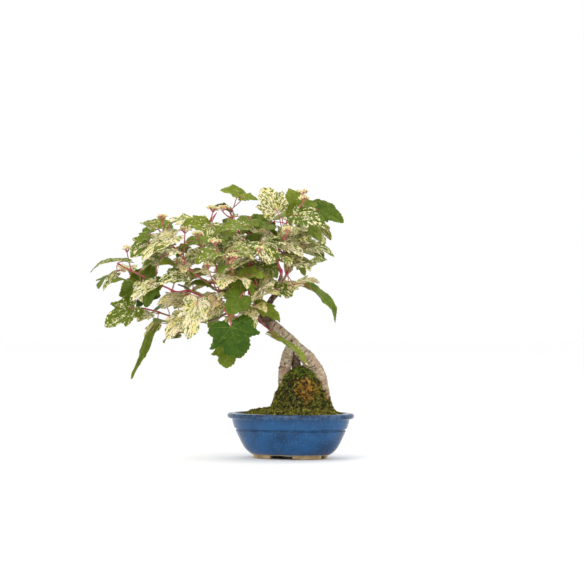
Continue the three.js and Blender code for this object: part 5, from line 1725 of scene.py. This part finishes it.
class BONSAI_OT_twig(bpy.types.Operator):
    """Add the woody twig"""

    bl_idname = "bonsai.twig"
    bl_label = "Old Twig"

    def execute(self, context):
        build_twig()
        return {"FINISHED"}


class BONSAI_OT_shoots(bpy.types.Operator):
    """Add the shoots"""

    bl_idname = "bonsai.shoots"
    bl_label = "Shoots"

    def execute(self, context):
        build_shoots()
        return {"FINISHED"}


class BONSAI_OT_stalks(bpy.types.Operator):
    """Add the stalks that have lost their leaves"""

    bl_idname = "bonsai.stalks"
    bl_label = "Bare Stalks"

    def execute(self, context):
        build_stalks()
        return {"FINISHED"}


class BONSAI_OT_leaves(bpy.types.Operator):
    """Add the large leaves with their stalks"""

    bl_idname = "bonsai.leaves"
    bl_label = "Leaves"

    def execute(self, context):
        build_leaves()
        return {"FINISHED"}


class BONSAI_OT_fill(bpy.types.Operator):
    """Add the smaller leaves that fill the crown"""

    bl_idname = "bonsai.fill"
    bl_label = "Small Leaves"

    def execute(self, context):
        build_fill()
        return {"FINISHED"}


class BONSAI_OT_buds(bpy.types.Operator):
    """Add the forked flower stalks"""

    bl_idname = "bonsai.buds"
    bl_label = "Buds"

    def execute(self, context):
        build_buds()
        return {"FINISHED"}


class BONSAI_OT_stage(bpy.types.Operator):
    """Add the floor, the lights and the camera"""

    bl_idname = "bonsai.stage"
    bl_label = "Stage"

    def execute(self, context):
        build_stage()
        return {"FINISHED"}


OPERATORS = [
    BONSAI_OT_pot, BONSAI_OT_soil, BONSAI_OT_moss, BONSAI_OT_cushion, BONSAI_OT_trunk, BONSAI_OT_twig,
    BONSAI_OT_shoots, BONSAI_OT_stalks, BONSAI_OT_leaves, BONSAI_OT_fill, BONSAI_OT_buds, BONSAI_OT_stage,
]


class BONSAI_PT_panel(bpy.types.Panel):
    """Sizes, colours and one button for each part of the bonsai."""

    bl_idname = "BONSAI_PT_panel"
    bl_label = "Bonsai"
    bl_space_type = "VIEW_3D"
    bl_region_type = "UI"
    bl_category = "Bonsai"

    def draw(self, context):
        """The settings first, then a button for each operator."""
        scene = context.scene
        for group in (scene.bonsai_looks, scene.bonsai_forms):
            for key in group.__annotations__:
                self.layout.prop(group, key)
        for made in OPERATORS:
            self.layout.operator(made.bl_idname)


CLASSES = [BonsaiLooks, BonsaiForms, *OPERATORS, BONSAI_PT_panel]


def register():
    """Make the classes known, and hang the two groups of settings on the scene."""
    for made in CLASSES:
        bpy.utils.register_class(made)
    bpy.types.Scene.bonsai_looks = PointerProperty(type=BonsaiLooks)
    bpy.types.Scene.bonsai_forms = PointerProperty(type=BonsaiForms)


def unregister():
    """Take both groups and all classes away again."""
    del bpy.types.Scene.bonsai_looks
    del bpy.types.Scene.bonsai_forms
    for made in reversed(CLASSES):
        bpy.utils.unregister_class(made)


def main():
    """Build every piece in order."""
    register()
    for made in OPERATORS:
        getattr(bpy.ops.bonsai, made.bl_idname.split(".")[1])()


if __name__ == "__main__":
    main()
